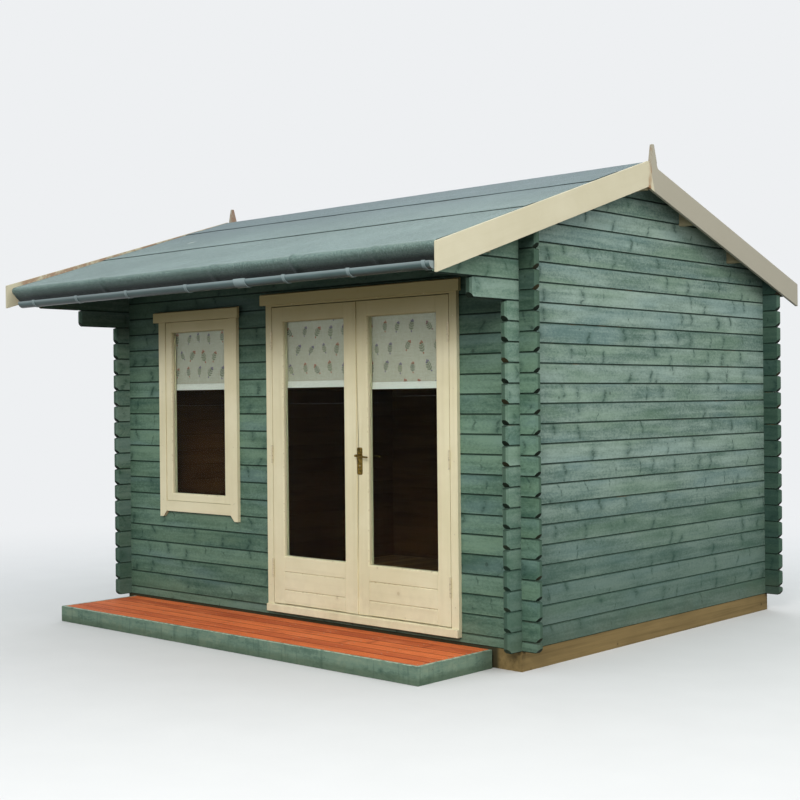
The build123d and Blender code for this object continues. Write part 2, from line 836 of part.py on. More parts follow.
def glazing_bevel(x0, x1, z0, z1, front):
    """The bevel round the front of a glazed opening."""
    cut = glazing_chamfer
    rim = Solid.make_loft([
        Wire.make_polygon([Vector(x0 - cut, front, z0 - cut), Vector(x1 + cut, front, z0 - cut),
                           Vector(x1 + cut, front, z1 + cut), Vector(x0 - cut, front, z1 + cut)]),
        Wire.make_polygon([Vector(x0, front + cut, z0), Vector(x1, front + cut, z0),
                           Vector(x1, front + cut, z1), Vector(x0, front + cut, z1)]),
    ], ruled=True)
    return rim


def make_leaf(where, x0, x1):
    """Stiles, rails, panel boards, glass, hinge halves and blind of one door leaf."""
    front = casing_face_y
    back = front + leaf_thickness
    glass_x = (x0 + stile_width, x1 - stile_width)
    panel_top = leaf_bottom_z + sum(panel_board_heights)
    glass_z = (panel_top, leaf_top_z - top_rail_height)
    groove = glazing_groove(*glass_x, *glass_z, front)
    bevel = glazing_bevel(*glass_x, *glass_z, front)
    stiles = [
        block(x0, glass_x[0], front, back, leaf_bottom_z, leaf_top_z) - groove - bevel,
        block(glass_x[1], x1, front, back, leaf_bottom_z, leaf_top_z) - groove - bevel,
    ]
    if where == "right":
        stiles[0] -= handle_hole(x0)
    save(where + "_door_stiles", stiles)
    inner = (glass_x[0] + seam, glass_x[1] - seam)
    rails = [block(*inner, front, back, glass_z[1], leaf_top_z) - groove - bevel]
    z = leaf_bottom_z
    for height in panel_board_heights:
        section = [
            (front, z + panel_v_joint), (front + panel_v_joint, z), (back, z), (back, z + height - seam),
            (front + panel_v_joint, z + height - seam), (front, z + height - seam - panel_v_joint),
        ]
        rails.append(bar_x(section, *inner) - groove - bevel)
        z += height
    save(where + "_door_rails", rails)
    save(where + "_door_glass", [glass_sheet(*glass_x, *glass_z, front)])
    hem = right_blind_hem if where == "right" else left_blind_hem
    top = leaf_top_z - blind_top_below_leaf
    save(where + "_door_blind", roller_blind(*glass_x, top, base_height + hem, back))


def handle_hole(x0):
    """The bore through the meeting stile for the spindle."""
    x = x0 + handle_from_edge
    z = base_height + handle_height
    near = casing_face_y - cutter_margin
    far = casing_face_y + leaf_thickness + cutter_margin
    return rod(spindle_hole_radius, (x, near, z), (x, far, z))


def roller_blind(x0, x1, top, hem, back):
    """A rolled blind with a hem bar, a little wider than the glass."""
    left = x0 - blind_side_margin
    right = x1 + blind_side_margin
    tube_y = back + blind_stand_off
    tube_z = top - blind_tube_radius
    bracket_low = tube_z - blind_tube_radius
    fabric_y = tube_y - blind_tube_radius - blind_fabric_thickness - seam
    hem_y = fabric_y + blind_fabric_thickness / 2 - blind_hem_thickness / 2
    tube_far = tube_y + blind_tube_radius
    hem_top = hem + blind_hem_height
    return [
        rod(blind_tube_radius, (left, tube_y, tube_z), (right, tube_y, tube_z)),
        block(left, right, fabric_y, fabric_y + blind_fabric_thickness, hem_top + seam, tube_z),
        block(left, right, hem_y, hem_y + blind_hem_thickness, hem, hem_top),
        block(left - blind_bracket_thickness, left - seam, back, tube_far, bracket_low, top),
        block(right + seam, right + blind_bracket_thickness, back, tube_far, bracket_low, top),
    ]


def hinge_knuckle(x, low, high):
    """One knuckle of a hinge round its pin."""
    y = casing_face_y - hinge_pin_forward
    return rod(hinge_radius, (x, y, low), (x, y, high))


def hinge_plate(x, outward, low, high):
    """One plate of a hinge, in the gap between leaf and jamb, from its knuckle inwards."""
    y = casing_face_y - hinge_pin_forward
    near = x + outward * running_gap
    far = x + outward * (running_gap + hinge_plate_thickness)
    return block(min(near, far), max(near, far), y, y + hinge_plate_depth, low, high)


def make_hinges():
    """Frame halves with two knuckles and leaf halves with one, on each side."""
    frame_halves = []
    for where, x, outward in (
        ("left", door_left_x + leaf_gap / 2, -1),
        ("right", door_right_x - leaf_gap / 2, 1),
    ):
        leaf_halves = []
        for place in hinge_heights:
            low = leaf_bottom_z + place - hinge_height / 2
            third = hinge_height / 3
            for start in (low, low + 2 * third):
                end = start + third
                frame_halves.append(hinge_knuckle(x, start, end) + hinge_plate(x, outward, start, end))
            leaf_low = low + third + knuckle_gap
            leaf_high = low + 2 * third - knuckle_gap
            half = hinge_knuckle(x, leaf_low, leaf_high) + hinge_plate(x, -outward, leaf_low, leaf_high)
            leaf_halves.append(half)
        save(where + "_door_hinges", leaf_halves)
    save("door_frame_hinges", frame_halves)


def lock_plate(x, z, face, outward):
    """A plate with a hole for the neck of the lever and a keyhole."""
    y0 = min(face, face + outward * plate_thickness)
    y1 = max(face, face + outward * plate_thickness)
    high = z + plate_above_spindle
    plate = block(x - plate_width / 2, x + plate_width / 2, y0, y1, high - plate_height, high)
    corners = plate.edges().filter_by(Axis.Y)
    plate = fillet(corners, plate_width / 4)
    plate -= rod(neck_radius + running_gap, (x, y0 - cutter_margin, z), (x, y1 + cutter_margin, z))
    key_z = z - keyhole_below_spindle
    plate -= rod(keyhole_radius, (x, y0 - cutter_margin, key_z), (x, y1 + cutter_margin, key_z))
    slot = keyhole_slot_width / 2
    slot_low = key_z - keyhole_slot_drop
    return plate - block(x - slot, x + slot, y0 - cutter_margin, y1 + cutter_margin, slot_low, key_z)


def lever(x, z, face, outward):
    """A neck and a tapered grip that points to the hinges and droops a little."""
    end = face + outward * neck_length
    grip_y = end - outward * lever_radius
    neck = rod(neck_radius, (x, face, z), (x, end, z))
    along = Vector(cos(radians(lever_droop)), 0, -sin(radians(lever_droop)))
    start = Vector(x, grip_y, z)
    grip = Solid.make_cone(lever_radius, lever_tip_radius, lever_length, Plane(origin=start, z_dir=along))
    tip = Pos(start + along * lever_length) * Sphere(lever_tip_radius)
    return neck + grip + tip


def make_handle(x0):
    """Lock plates on both faces of the right leaf, and the two levers on one spindle."""
    x = x0 + handle_from_edge
    z = base_height + handle_height
    front = casing_face_y
    back = front + leaf_thickness
    save("lock_plates", [lock_plate(x, z, front, -1), lock_plate(x, z, back, 1)])
    spindle = rod(spindle_radius, (x, front - plate_thickness, z), (x, back + plate_thickness, z))
    outer = lever(x, z, front - plate_thickness / 2, -1)
    inner = lever(x, z, back + plate_thickness / 2, 1)
    save("lever_handles", [outer + spindle + inner])


def make_cover_strip(x0):
    """The strip on the meeting edge of the right leaf."""
    front = casing_face_y
    strip = block(
        x0, x0 + cover_strip_width, front - cover_strip_thickness, front, leaf_bottom_z, leaf_top_z)
    save("door_cover_strip", [strip])


def make_doors():
    """Both leaves, their hinges and the handle."""
    left_x0 = door_left_x + leaf_gap
    right_x1 = door_right_x - leaf_gap
    make_leaf("left", left_x0, left_x0 + leaf_width)
    make_leaf("right", right_x1 - leaf_width, right_x1)
    make_hinges()
    make_handle(right_x1 - leaf_width)


def make_window():
    """Frame, head board, sash, glass and blind of the window."""
    bottom = window_rough_bottom
    top = window_rough_top
    sill_top = base_height + window_sill_top
    head = base_height + window_head
    inner_face = wall_inside_y + inner_casing_thickness
    sides = []
    for edge, inward in ((window_left_x, 1), (window_right_x, -1)):
        jamb = bar_z(frame_section(edge, inward, window_casing_width), bottom + seam, top - seam)
        outer = edge - inward * window_casing_width
        tail_low = bottom - window_tail_drop
        tail = bar_y([
            (edge, bottom), (edge - inward * window_tail_cut, tail_low), (outer, tail_low),
            (outer, bottom + cutter_margin), (edge, bottom + cutter_margin),
        ], casing_face_y, front_y)
        sides.append(jamb + tail)
    inner_x = (window_left_x + seam, window_right_x - seam)
    sill = block(*inner_x, casing_face_y, inner_face, bottom + seam, sill_top)
    head_piece = block(*inner_x, casing_face_y, inner_face, head, top - seam)
    stops = window_stop_clearance()
    save("window_frame", sides + [sill - stops, head_piece - stops])
    width = window_width + 2 * window_casing_width
    save("window_head_board", [head_board(window_centre_x, width, head + seam)])
    make_sash(sill_top, head)


def window_stop_clearance():
    """Room for the jambs' stops at the ends of the sill and the head."""
    y0 = stop_y - seam
    y1 = wall_inside_y + inner_casing_thickness + cutter_margin
    low = window_rough_bottom - cutter_margin
    high = window_rough_top + cutter_margin
    reach = frame_stop + seam
    left = block(window_left_x - cutter_margin, window_left_x + reach, y0, y1, low, high)
    right = block(window_right_x - reach, window_right_x + cutter_margin, y0, y1, low, high)
    return left + right


def make_sash(sill_top, head):
    """A glazed sash that closes against the stops of the window frame."""
    back = stop_y
    front = back - sash_thickness
    x0 = window_left_x + sash_gap
    x1 = window_right_x - sash_gap
    z0 = sill_top + sash_gap
    z1 = head - sash_gap
    glass_x = (x0 + sash_stile, x1 - sash_stile)
    glass_z = (z0 + sash_bottom_rail, z1 - sash_top_rail)
    groove = glazing_groove(*glass_x, *glass_z, front)
    bevel = glazing_bevel(*glass_x, *glass_z, front)
    inner = (glass_x[0] + seam, glass_x[1] - seam)
    pieces = [
        block(x0, glass_x[0], front, back, z0, z1),
        block(glass_x[1], x1, front, back, z0, z1),
        block(*inner, front, back, z0, glass_z[0]),
        block(*inner, front, back, glass_z[1], z1),
    ]
    save("window_sash", [piece - groove - bevel for piece in pieces])
    save("window_glass", [glass_sheet(*glass_x, *glass_z, front)])
    blind_top = z1 - blind_top_below_leaf
    save("window_blind", roller_blind(*glass_x, blind_top, base_height + window_blind_hem, back))


os.makedirs("parts", exist_ok=True)
make_base()
make_walls()
make_roof()
make_gutter()
make_door_frame()
make_doors()
make_cover_strip(door_right_x - leaf_gap - leaf_width)
make_window()
make_deck()
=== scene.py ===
import math

import bpy
from mathutils import Matrix, Vector, noise


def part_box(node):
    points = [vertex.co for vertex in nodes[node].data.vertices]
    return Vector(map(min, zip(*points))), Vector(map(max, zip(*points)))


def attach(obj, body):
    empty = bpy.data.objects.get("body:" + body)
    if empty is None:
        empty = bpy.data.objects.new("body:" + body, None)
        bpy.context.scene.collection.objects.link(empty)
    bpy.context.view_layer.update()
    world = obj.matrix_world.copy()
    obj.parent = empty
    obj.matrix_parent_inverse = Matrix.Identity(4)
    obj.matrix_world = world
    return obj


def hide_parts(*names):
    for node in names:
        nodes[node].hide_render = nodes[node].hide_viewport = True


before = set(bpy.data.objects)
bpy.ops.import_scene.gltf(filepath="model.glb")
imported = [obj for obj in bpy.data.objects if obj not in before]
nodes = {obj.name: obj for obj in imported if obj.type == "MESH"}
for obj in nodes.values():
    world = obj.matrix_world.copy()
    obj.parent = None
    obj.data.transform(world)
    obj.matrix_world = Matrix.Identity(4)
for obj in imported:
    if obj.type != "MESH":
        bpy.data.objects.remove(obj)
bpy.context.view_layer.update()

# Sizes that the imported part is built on, in metres
WALLS_FOOT = 0.115
LOG = 0.114
RIDGE_Y = -0.320
RIDGE_Z = 2.944
PITCH = math.radians(18)
FELT_TOP = 0.005
FELT_THICKNESS = 0.0035
LAP_RISE = 0.004
EAVE_FACE = 1.956 / math.cos(PITCH)
NOSE_RADIUS = 0.018
FACE_LEAN = math.radians(26)
UPPER_LAP = 0.520
LOWER_LAP = 1.265
FLAP_END = 0.100
CAP_SKEW = 0.042
ROOM_X = 1.7725
ROOM_Y = 1.3965
DOOR_HEAD_FOOT = 2.1217
ROOM_BOARD = 0.114
WINDOW_X = -0.965
DECK_FRONT = -2.0537
DECK_BOARDS = 6
DECK_GAP = 0.005
DECK_PITCH = 0.10178

# What is seen behind the part, in 0 to 255
BACKGROUND = (238, 240, 242)


def srgb(colour):
    """A colour given in 0 to 255 as a picture shows it, as linear light."""
    linear = []
    for part in colour:
        value = part / 255
        linear.append(value / 12.92 if value <= 0.04045 else ((value + 0.055) / 1.055) ** 2.4)
    return (*linear, 1.0)


def feed(tree, socket, value):
    """Link an input to a socket, or set its value. Three parts for a colour are in 0 to 255."""
    if isinstance(value, bpy.types.NodeSocket):
        tree.links.new(value, socket)
    elif socket.type == "RGBA" and len(value) == 3:
        socket.default_value = srgb(value)
    else:
        socket.default_value = value


def add_node(tree, kind, sockets, output=0, **settings):
    """Add a shader node, with values or links for its inputs, and give one of its outputs."""
    node = tree.nodes.new("ShaderNode" + kind)
    for name, value in settings.items():
        setattr(node, name, value)
    for socket, value in sockets.items():
        feed(tree, node.inputs[socket], value)
    return node.outputs[output]


class Shader:
    """A material and short calls that add nodes to it."""

    def __init__(self, name):
        self.material = bpy.data.materials.new(name)
        self.material.use_nodes = True
        self.tree = self.material.node_tree
        self.surface = self.tree.nodes["Principled BSDF"]
        coordinates = self.add("TexCoord", {}).node.outputs
        self.place = coordinates["Object"]
        self.x, self.y, self.z = self.split(self.place)
        self.nx, self.ny, self.nz = self.split(coordinates["Normal"])

    def add(self, kind, sockets, output=0, **settings):
        return add_node(self.tree, kind, sockets, output, **settings)

    def split(self, vector):
        return tuple(self.add("SeparateXYZ", {0: vector}).node.outputs)

    def join(self, x, y, z):
        return self.add("CombineXYZ", {0: x, 1: y, 2: z})

    def math(self, operation, *values, clamp=False):
        return self.add("Math", dict(enumerate(values)), operation=operation, use_clamp=clamp)

    def times(self, first, second):
        return self.math("MULTIPLY", first, second)

    def plus(self, first, second):
        return self.math("ADD", first, second)

    def minus(self, first, second):
        return self.math("SUBTRACT", first, second)

    def larger(self, first, second):
        return self.math("MAXIMUM", first, second)

    def abs(self, value):
        return self.math("ABSOLUTE", value)

    def spread(self, value, width):
        """A value from 0 to 1 as one from -width / 2 to width / 2."""
        return self.times(self.minus(value, 0.5), width)

    def scale(self, vector, factors):
        return self.add("VectorMath", {0: vector, 1: factors}, operation="MULTIPLY")

    def shift(self, vector, amounts):
        return self.add("VectorMath", {0: vector, 1: amounts}, operation="ADD")

    def noise(self, vector, scale=1.0, detail=2.0, roughness=0.5, distortion=0.0):
        return self.add("TexNoise",
                        {"Vector": vector, "Scale": scale, "Detail": detail, "Roughness": roughness,
                         "Distortion": distortion})

    def drawn(self, vector, factors, detail=2.0, roughness=0.5, distortion=0.0):
        """Noise drawn out by a factor for each direction."""
        return self.noise(self.scale(vector, factors), 1.0, detail, roughness, distortion)

    def step(self, value, low, high):
        """0 below low, 1 above high, smooth between them. low may be above high, to fall instead of rise."""
        return self.add("MapRange", {"Value": value, "From Min": low, "From Max": high},
                        interpolation_type="SMOOTHSTEP")

    def blend(self, factor, first, second):
        return self.add("Mix", {0: factor, 6: first, 7: second}, output=2, data_type="RGBA")

    def cover(self, colour, shade, mask, amount):
        """A shade laid over a colour, by a mask and an amount."""
        return self.blend(self.times(mask, amount), colour, shade)

    def either(self, factor, first, second):
        """A value between two, by factor."""
        return self.add("Mix", {0: factor, 2: first, 3: second})

    def dice(self, value):
        """A value from 0 to 1 that differs for each whole number."""
        return self.add("TexWhiteNoise", {"W": value}, noise_dimensions="1D")

    def finish(self, colour, roughness, bump=None, strength=0.3, distance=0.001, **plain):
        """Link colour and roughness to the surface, with a bump and the shader's plain values."""
        values = {"Base_Color": colour, "Roughness": roughness, **plain}
        if bump is not None:
            values["Normal"] = self.add("Bump",
                                        {"Height": bump, "Strength": strength, "Distance": distance})
        for socket, value in values.items():
            feed(self.tree, self.surface.inputs[socket.replace("_", " ")], value)
        return self.material


def from_ridge(s):
    """Distances from the ridge: level, upright and down along the slope."""
    run = s.abs(s.minus(s.y, RIDGE_Y))
    fall = s.minus(RIDGE_Z, s.z)
    return run, fall, s.plus(s.times(run, math.cos(PITCH)), s.times(fall, math.sin(PITCH)))


def along_grain(s, axis):
    """Coordinates whose first part runs along the timber."""
    if axis == "X":
        return s.join(s.x, s.y, s.z)
    if axis == "Y":
        return s.join(s.y, s.x, s.z)
    if axis == "Z":
        return s.join(s.z, s.x, s.y)
    run, fall, down = from_ridge(s)
    deep = s.minus(s.times(fall, math.cos(PITCH)), s.times(run, math.sin(PITCH)))
    side = s.math("SIGN", s.minus(s.y, RIDGE_Y))
    return s.join(s.plus(down, s.times(side, 7.3)), s.x, deep)


def mixed_grain(s, axis, other, where):
    """Coordinates along one axis, and along the other where the mask is 1."""
    grain = along_grain(s, axis)
    if not other:
        return grain
    return s.add("Mix", {0: where(s), 4: grain, 5: along_grain(s, other)}, 1, data_type="VECTOR")


def knots(s, grain, density, smallest, largest):
    """Round knots: the mask of the knots and of the disturbed grain round them."""
    a, _, v = s.split(grain)
    cells = s.join(s.times(a, density), s.times(v, density), 0.0)
    cell = s.add("TexVoronoi", {"Vector": cells, "Scale": 1.0}, voronoi_dimensions="2D").node
    kind = s.split(cell.outputs["Color"])[0]
    radius = s.either(s.math("POWER", kind, 2.5), smallest * density, largest * density)
    ragged = s.plus(cell.outputs["Distance"], s.spread(s.noise(grain, 160.0), 0.004 * density))
    far = s.math("DIVIDE", ragged, radius)
    return s.step(far, 1.05, 0.75), s.step(far, 3.2, 0.9)


def round_knots(s, grain, halo):
    """Grain coordinates that bend round the knots."""
    aside = s.times(halo, 0.006)
    return s.shift(grain, s.join(0.0, aside, aside))


def stained_logs(name, axis, first_half, light, dark, dark_foot):
    """Stained logs: tone by log, grain, mottle, spike knots, dark joints, end grain and painted shade."""
    s = Shader(name)
    long, across = (s.y, s.x) if axis == "Y" else (s.x, s.y)
    length_normal = s.ny if axis == "Y" else s.nx
    courses = s.plus(s.math("DIVIDE", s.minus(s.z, WALLS_FOOT), LOG), first_half)
    course = s.math("FLOOR", courses)
    height = s.math("FRACT", courses)
    wall = s.times(s.math("SIGN", across), 41.0)
    log = s.plus(course, wall)
    own = s.times(s.dice(s.plus(log, 0.37)), 61.0)
    start = s.plus(long, own)
    grain = s.join(start, across, s.plus(s.z, s.times(course, 0.77)))
    knot, halo = knots(s, grain, 2.4, 0.005, 0.014)
    bent = round_knots(s, grain, halo)
    fine = s.drawn(bent, (5.0, 260.0, 260.0), 4.0, 0.65)
    streak = s.drawn(bent, (1.6, 34.0, 34.0), 3.0, 0.55, 0.3)
    cloud = s.drawn(grain, (3.0, 6.0, 11.0), 4.0, 0.62)
    mottle = s.drawn(grain, (46.0, 80.0, 80.0), 5.0, 0.78)
    mixed = s.plus(s.plus(s.times(s.dice(log), 0.12), s.times(streak, 0.34)),
                   s.plus(s.times(cloud, 0.40), s.times(mottle, 0.46)))
    colour = s.blend(s.step(mixed, 0.46, 0.84), dark, light)
    hue = s.drawn(grain, (1.1, 2.0, 7.0), 2.0)
    colour = s.cover(colour, (112, 138, 140), s.step(hue, 0.50, 0.68), 0.30)
    colour = s.cover(colour, (106, 132, 104), s.step(hue, 0.50, 0.34), 0.30)
    colour = s.cover(colour, dark, s.step(fine, 0.54, 0.72), 0.22)

    # Spike knots: dark bowed marks that cross a part of the log's height
    bow = s.times(s.math("POWER", s.minus(height, 0.5), 2.0), 0.10)
    wander = s.spread(s.drawn(grain, (5.0, 5.0, 16.0), 3.0), 0.09)
    place = s.times(s.plus(s.plus(start, bow), wander), 4.2)
    cell = s.math("ROUND", place)
    kind = s.dice(s.plus(s.times(cell, 1.31), s.times(log, 2.17)))
    crowd = s.drawn(grain, (1.3, 1.0, 3.0), 2.0)
    kind = s.math("ADD", kind, s.times(s.minus(crowd, 0.52), 1.6), clamp=True)
    reach = s.dice(s.plus(s.times(cell, 2.73), s.times(log, 1.19)))
    uneven = s.spread(s.dice(s.plus(s.times(cell, 3.17), s.times(log, 0.53))), 0.66)
    off = s.abs(s.minus(s.minus(place, cell), uneven))
    wide = s.either(s.math("POWER", kind, 1.6), 0.020, 0.115)
    core = s.step(s.math("DIVIDE", off, wide), 1.0, 0.15)
    stretch = s.step(s.abs(s.minus(height, s.either(reach, 0.1, 0.9))), 0.50, 0.22)
    broken = s.step(s.drawn(grain, (26.0, 26.0, 40.0), 3.0, 0.7), 0.40, 0.56)
    spike = s.times(s.times(core, stretch), s.times(broken, s.step(kind, 0.30, 0.40)))
    smudge = s.times(s.step(s.math("DIVIDE", off, wide), 2.6, 0.5), stretch)
    smudge = s.times(smudge, s.times(s.step(mottle, 0.38, 0.60), s.step(kind, 0.42, 0.62)))
    colour = s.cover(colour, (58, 82, 72), halo, 0.24)
    colour = s.cover(colour, (52, 80, 70), smudge, 0.50)
    colour = s.cover(colour, (36, 58, 50), spike, 0.60)
    colour = s.cover(colour, (42, 56, 48), knot, 0.55)

    if axis == "Y":
        # Painted shade: the side logs' ends in front of the front wall, below the eave, turn darker and
        # greener
        colour = s.cover(colour, (84, 122, 96), s.step(long, -1.38, -1.45), 0.22)
        # Painted shade below the eave on the left wall's faces that look to the right, from about 2 m up
        inner = s.times(s.step(s.nx, 0.5, 0.8), s.step(s.x, -1.70, -1.75))
        painted_eave_shade = s.times(inner, s.step(s.z, 1.90, 2.05))
        colour = s.cover(colour, (22, 34, 26), painted_eave_shade, 0.60)
    else:
        # Painted shade of the eave, deepening towards the top of the front wall
        painted_eave_shade = s.times(s.step(s.z, 1.45, 2.25), s.step(s.y, -1.30, -1.38))
        colour = s.cover(colour, (24, 38, 28), painted_eave_shade, 0.66)
        # Painted shade on the faces of the back wall that look to the front, such as its log ends at the
        # corners
        painted_corner_shade = s.times(s.step(s.y, 1.30, 1.38), s.step(s.ny, -0.5, -0.8))
        colour = s.cover(colour, (30, 54, 48), painted_corner_shade, 0.70)

    # Joints, ends and feet
    worn = s.step(s.drawn(grain, (2.6, 4.0, 9.0), 4.0, 0.65), 0.62, 0.74)
    # Painted shade in the joints: facets that face up and those that face down are darkened, the lower ones
    # almost to black
    upward = s.step(s.nz, 0.4, 0.6)
    downward = s.step(s.nz, -0.4, -0.6)
    colour = s.cover(colour, (34, 50, 40), upward, 0.80)
    colour = s.cover(colour, (12, 24, 18), downward, 0.95)
    joint = s.larger(upward, downward)
    colour = s.cover(colour, (118, 84, 44), s.times(joint, worn), 0.55)
    lip = s.step(s.abs(s.minus(height, 0.5)), 0.425, 0.455)
    lip = s.times(lip, s.step(s.drawn(grain, (7.0, 9.0, 9.0), 3.0), 0.40, 0.60))
    colour = s.cover(colour, dark, lip, 0.20)
    ends = s.step(s.abs(length_normal), 0.5, 0.66)
    flat_end = s.step(s.abs(length_normal), 0.85, 0.97)
    rings = s.add("TexWave",
                  {"Vector": s.join(across, s.times(height, LOG), 0.0), "Scale": 48.0, "Distortion": 2.0,
                   "Detail": 2.0}, output=1, wave_type="RINGS")
    end_colour = s.cover((62, 86, 70), (38, 54, 42), rings, 0.35)
    colour = s.cover(colour, end_colour, flat_end, 0.85)
    chamfer = s.minus(ends, flat_end)
    upright_chamfer = s.times(chamfer, s.step(s.abs(s.nz), 0.3, 0.1))
    colour = s.cover(colour, (58, 82, 66), upright_chamfer, 0.45)
    # Downward chamfers at the log ends: bare brown wood on some logs, painted shade near black on the others
    low_chamfer = s.times(chamfer, s.step(s.nz, -0.2, -0.5))
    bare_cut_and_shade = s.blend(s.step(s.dice(s.plus(log, 0.61)), 0.55, 0.80), (20, 32, 22), (56, 50, 30))
    colour = s.cover(colour, bare_cut_and_shade, low_chamfer, 0.9)
    foot = s.plus(s.z, s.times(s.noise(grain, 5.0, 3.0), 0.22))
    colour = s.cover(colour, (56, 82, 70), s.step(foot, 1.35, 0.35), dark_foot)
    colour = s.cover(colour, (112, 108, 84), s.step(foot, 0.42, 0.16), 0.20)

    # The faces towards the room have no stain
    room = s.times(s.step(s.abs(s.x), ROOM_X + 0.0005, ROOM_X - 0.0005),
                   s.step(s.abs(s.y), ROOM_Y + 0.0005, ROOM_Y - 0.0005))
    pine = s.blend(s.step(mixed, 0.40, 0.86), (84, 57, 34), (114, 81, 50))
    pine = s.cover(pine, (70, 42, 22), knot, 0.6)
    colour = s.blend(room, colour, pine)
    rough = s.either(s.larger(spike, joint), 0.58, 0.78)
    relief = s.minus(s.plus(s.times(fine, 0.7), s.times(mottle, 0.6)),
                     s.times(s.plus(knot, s.times(spike, 0.6)), 0.8))
    return s.finish(colour, rough, relief, 0.35, 0.0012, Specular_IOR_Level=0.12)


def timber(name, axis, light, dark, other=None, where=None, rough=0.7, knot_share=0.6, boards=None,
           weather_and_painted_light=None):
    """Bare or thinly stained timber. The grain runs along axis, and along other where the mask is 1.
    boards is (position, width) of boards side by side. The last argument changes the finished colour:
    marks of use and age, painted shadow on the bearers and a painted highlight along the fascia's top."""
    s = Shader(name)
    grain = mixed_grain(s, axis, other, where)
    tone = 0.5
    gap = None
    if boards:
        place, width = boards
        count = s.math("DIVIDE", place(s), width)
        number = s.math("FLOOR", count)
        tone = s.dice(number)
        shift = s.times(number, 3.71)
        grain = s.shift(grain, s.join(shift, shift, 0.0))
        edge = s.math("PINGPONG", count, 0.5)
        gap = s.step(edge, 0.016, 0.008)
    knot, halo = knots(s, grain, 3.4, 0.006, 0.016)
    bent = round_knots(s, grain, halo)
    fine = s.drawn(bent, (3.0, 220.0, 220.0), 4.0, 0.6)
    streak = s.drawn(bent, (1.2, 40.0, 40.0), 3.0, 0.6, 0.3)
    cloud = s.drawn(grain, (1.8, 6.0, 6.0), 3.0, 0.6)
    mixed = s.plus(s.plus(s.times(streak, 0.5), s.times(cloud, 0.35)),
                   s.plus(s.times(fine, 0.2), s.times(tone, 0.25)))
    colour = s.blend(s.step(mixed, 0.36, 0.86), dark, light)
    deep = (*(0.35 * part for part in srgb(dark)[:3]), 1.0)
    colour = s.cover(colour, deep, halo, 0.25 * knot_share)
    colour = s.cover(colour, deep, knot, knot_share)
    relief = s.plus(s.times(fine, 0.7), s.times(streak, 0.5))
    if gap is not None:
        colour = s.cover(colour, deep, gap, 0.85)
        relief = s.minus(relief, gap)
    if weather_and_painted_light:
        colour = weather_and_painted_light(s, colour)
    return s.finish(colour, rough, relief, 0.5, 0.001, Specular_IOR_Level=0.15)


def fascia_weather(s, colour):
    """Patches, a damp foot, runs and a painted highlight along the top edge."""
    patch = s.drawn(s.place, (7.0, 7.0, 16.0), 5.0, 0.72)
    runs = s.drawn(s.place, (30.0, 30.0, 3.0), 4.0, 0.6)
    foot = s.minus(s.z, s.times(s.noise(s.place, 9.0, 4.0, 0.7), 0.06))
    colour = s.cover(colour, (138, 152, 128), s.step(patch, 0.50, 0.64), 0.55)
    colour = s.cover(colour, (72, 98, 86), s.step(patch, 0.48, 0.36), 0.55)
    colour = s.cover(colour, (64, 86, 76), s.step(runs, 0.54, 0.68), 0.35)
    colour = s.cover(colour, (70, 84, 62), s.step(foot, 0.035, -0.010), 0.55)
    # Painted highlight: a broken pale line along the top edge
    worn = s.times(s.step(s.z, 0.1015, 0.1035), s.step(s.noise(s.place, 30.0, 3.0), 0.40, 0.55))
    return s.cover(colour, (176, 188, 166), worn, 0.60)


def deck_weather(s, colour):
    """Dark gaps and grooves, and boards scuffed where people step in."""
    count = s.math("DIVIDE", s.minus(s.y, DECK_FRONT - DECK_GAP / 2), DECK_PITCH)
    gap = s.step(s.math("PINGPONG", count, 0.5), 0.085, 0.045)
    colour = s.cover(colour, (84, 38, 22), gap, 0.55)
    groove = s.step(s.z, 0.1046, 0.1038)
    colour = s.cover(colour, (110, 48, 28), groove, 0.45)
    scuff = s.drawn(s.place, (4.0, 14.0, 4.0), 5.0, 0.72)
    colour = s.cover(colour, (222, 134, 84), s.step(scuff, 0.54, 0.70), 0.40)
    return s.cover(colour, (134, 60, 34), s.step(scuff, 0.44, 0.32), 0.40)


def painted_bearer_shadow(s, colour):
    """Painted shadow on the timber that shows between the deck and the wall."""
    shadow_strip = s.times(s.step(s.y, -1.36, -1.38), s.step(s.x, 1.66, 1.62))
    return s.cover(colour, (34, 38, 28), shadow_strip, 0.85)


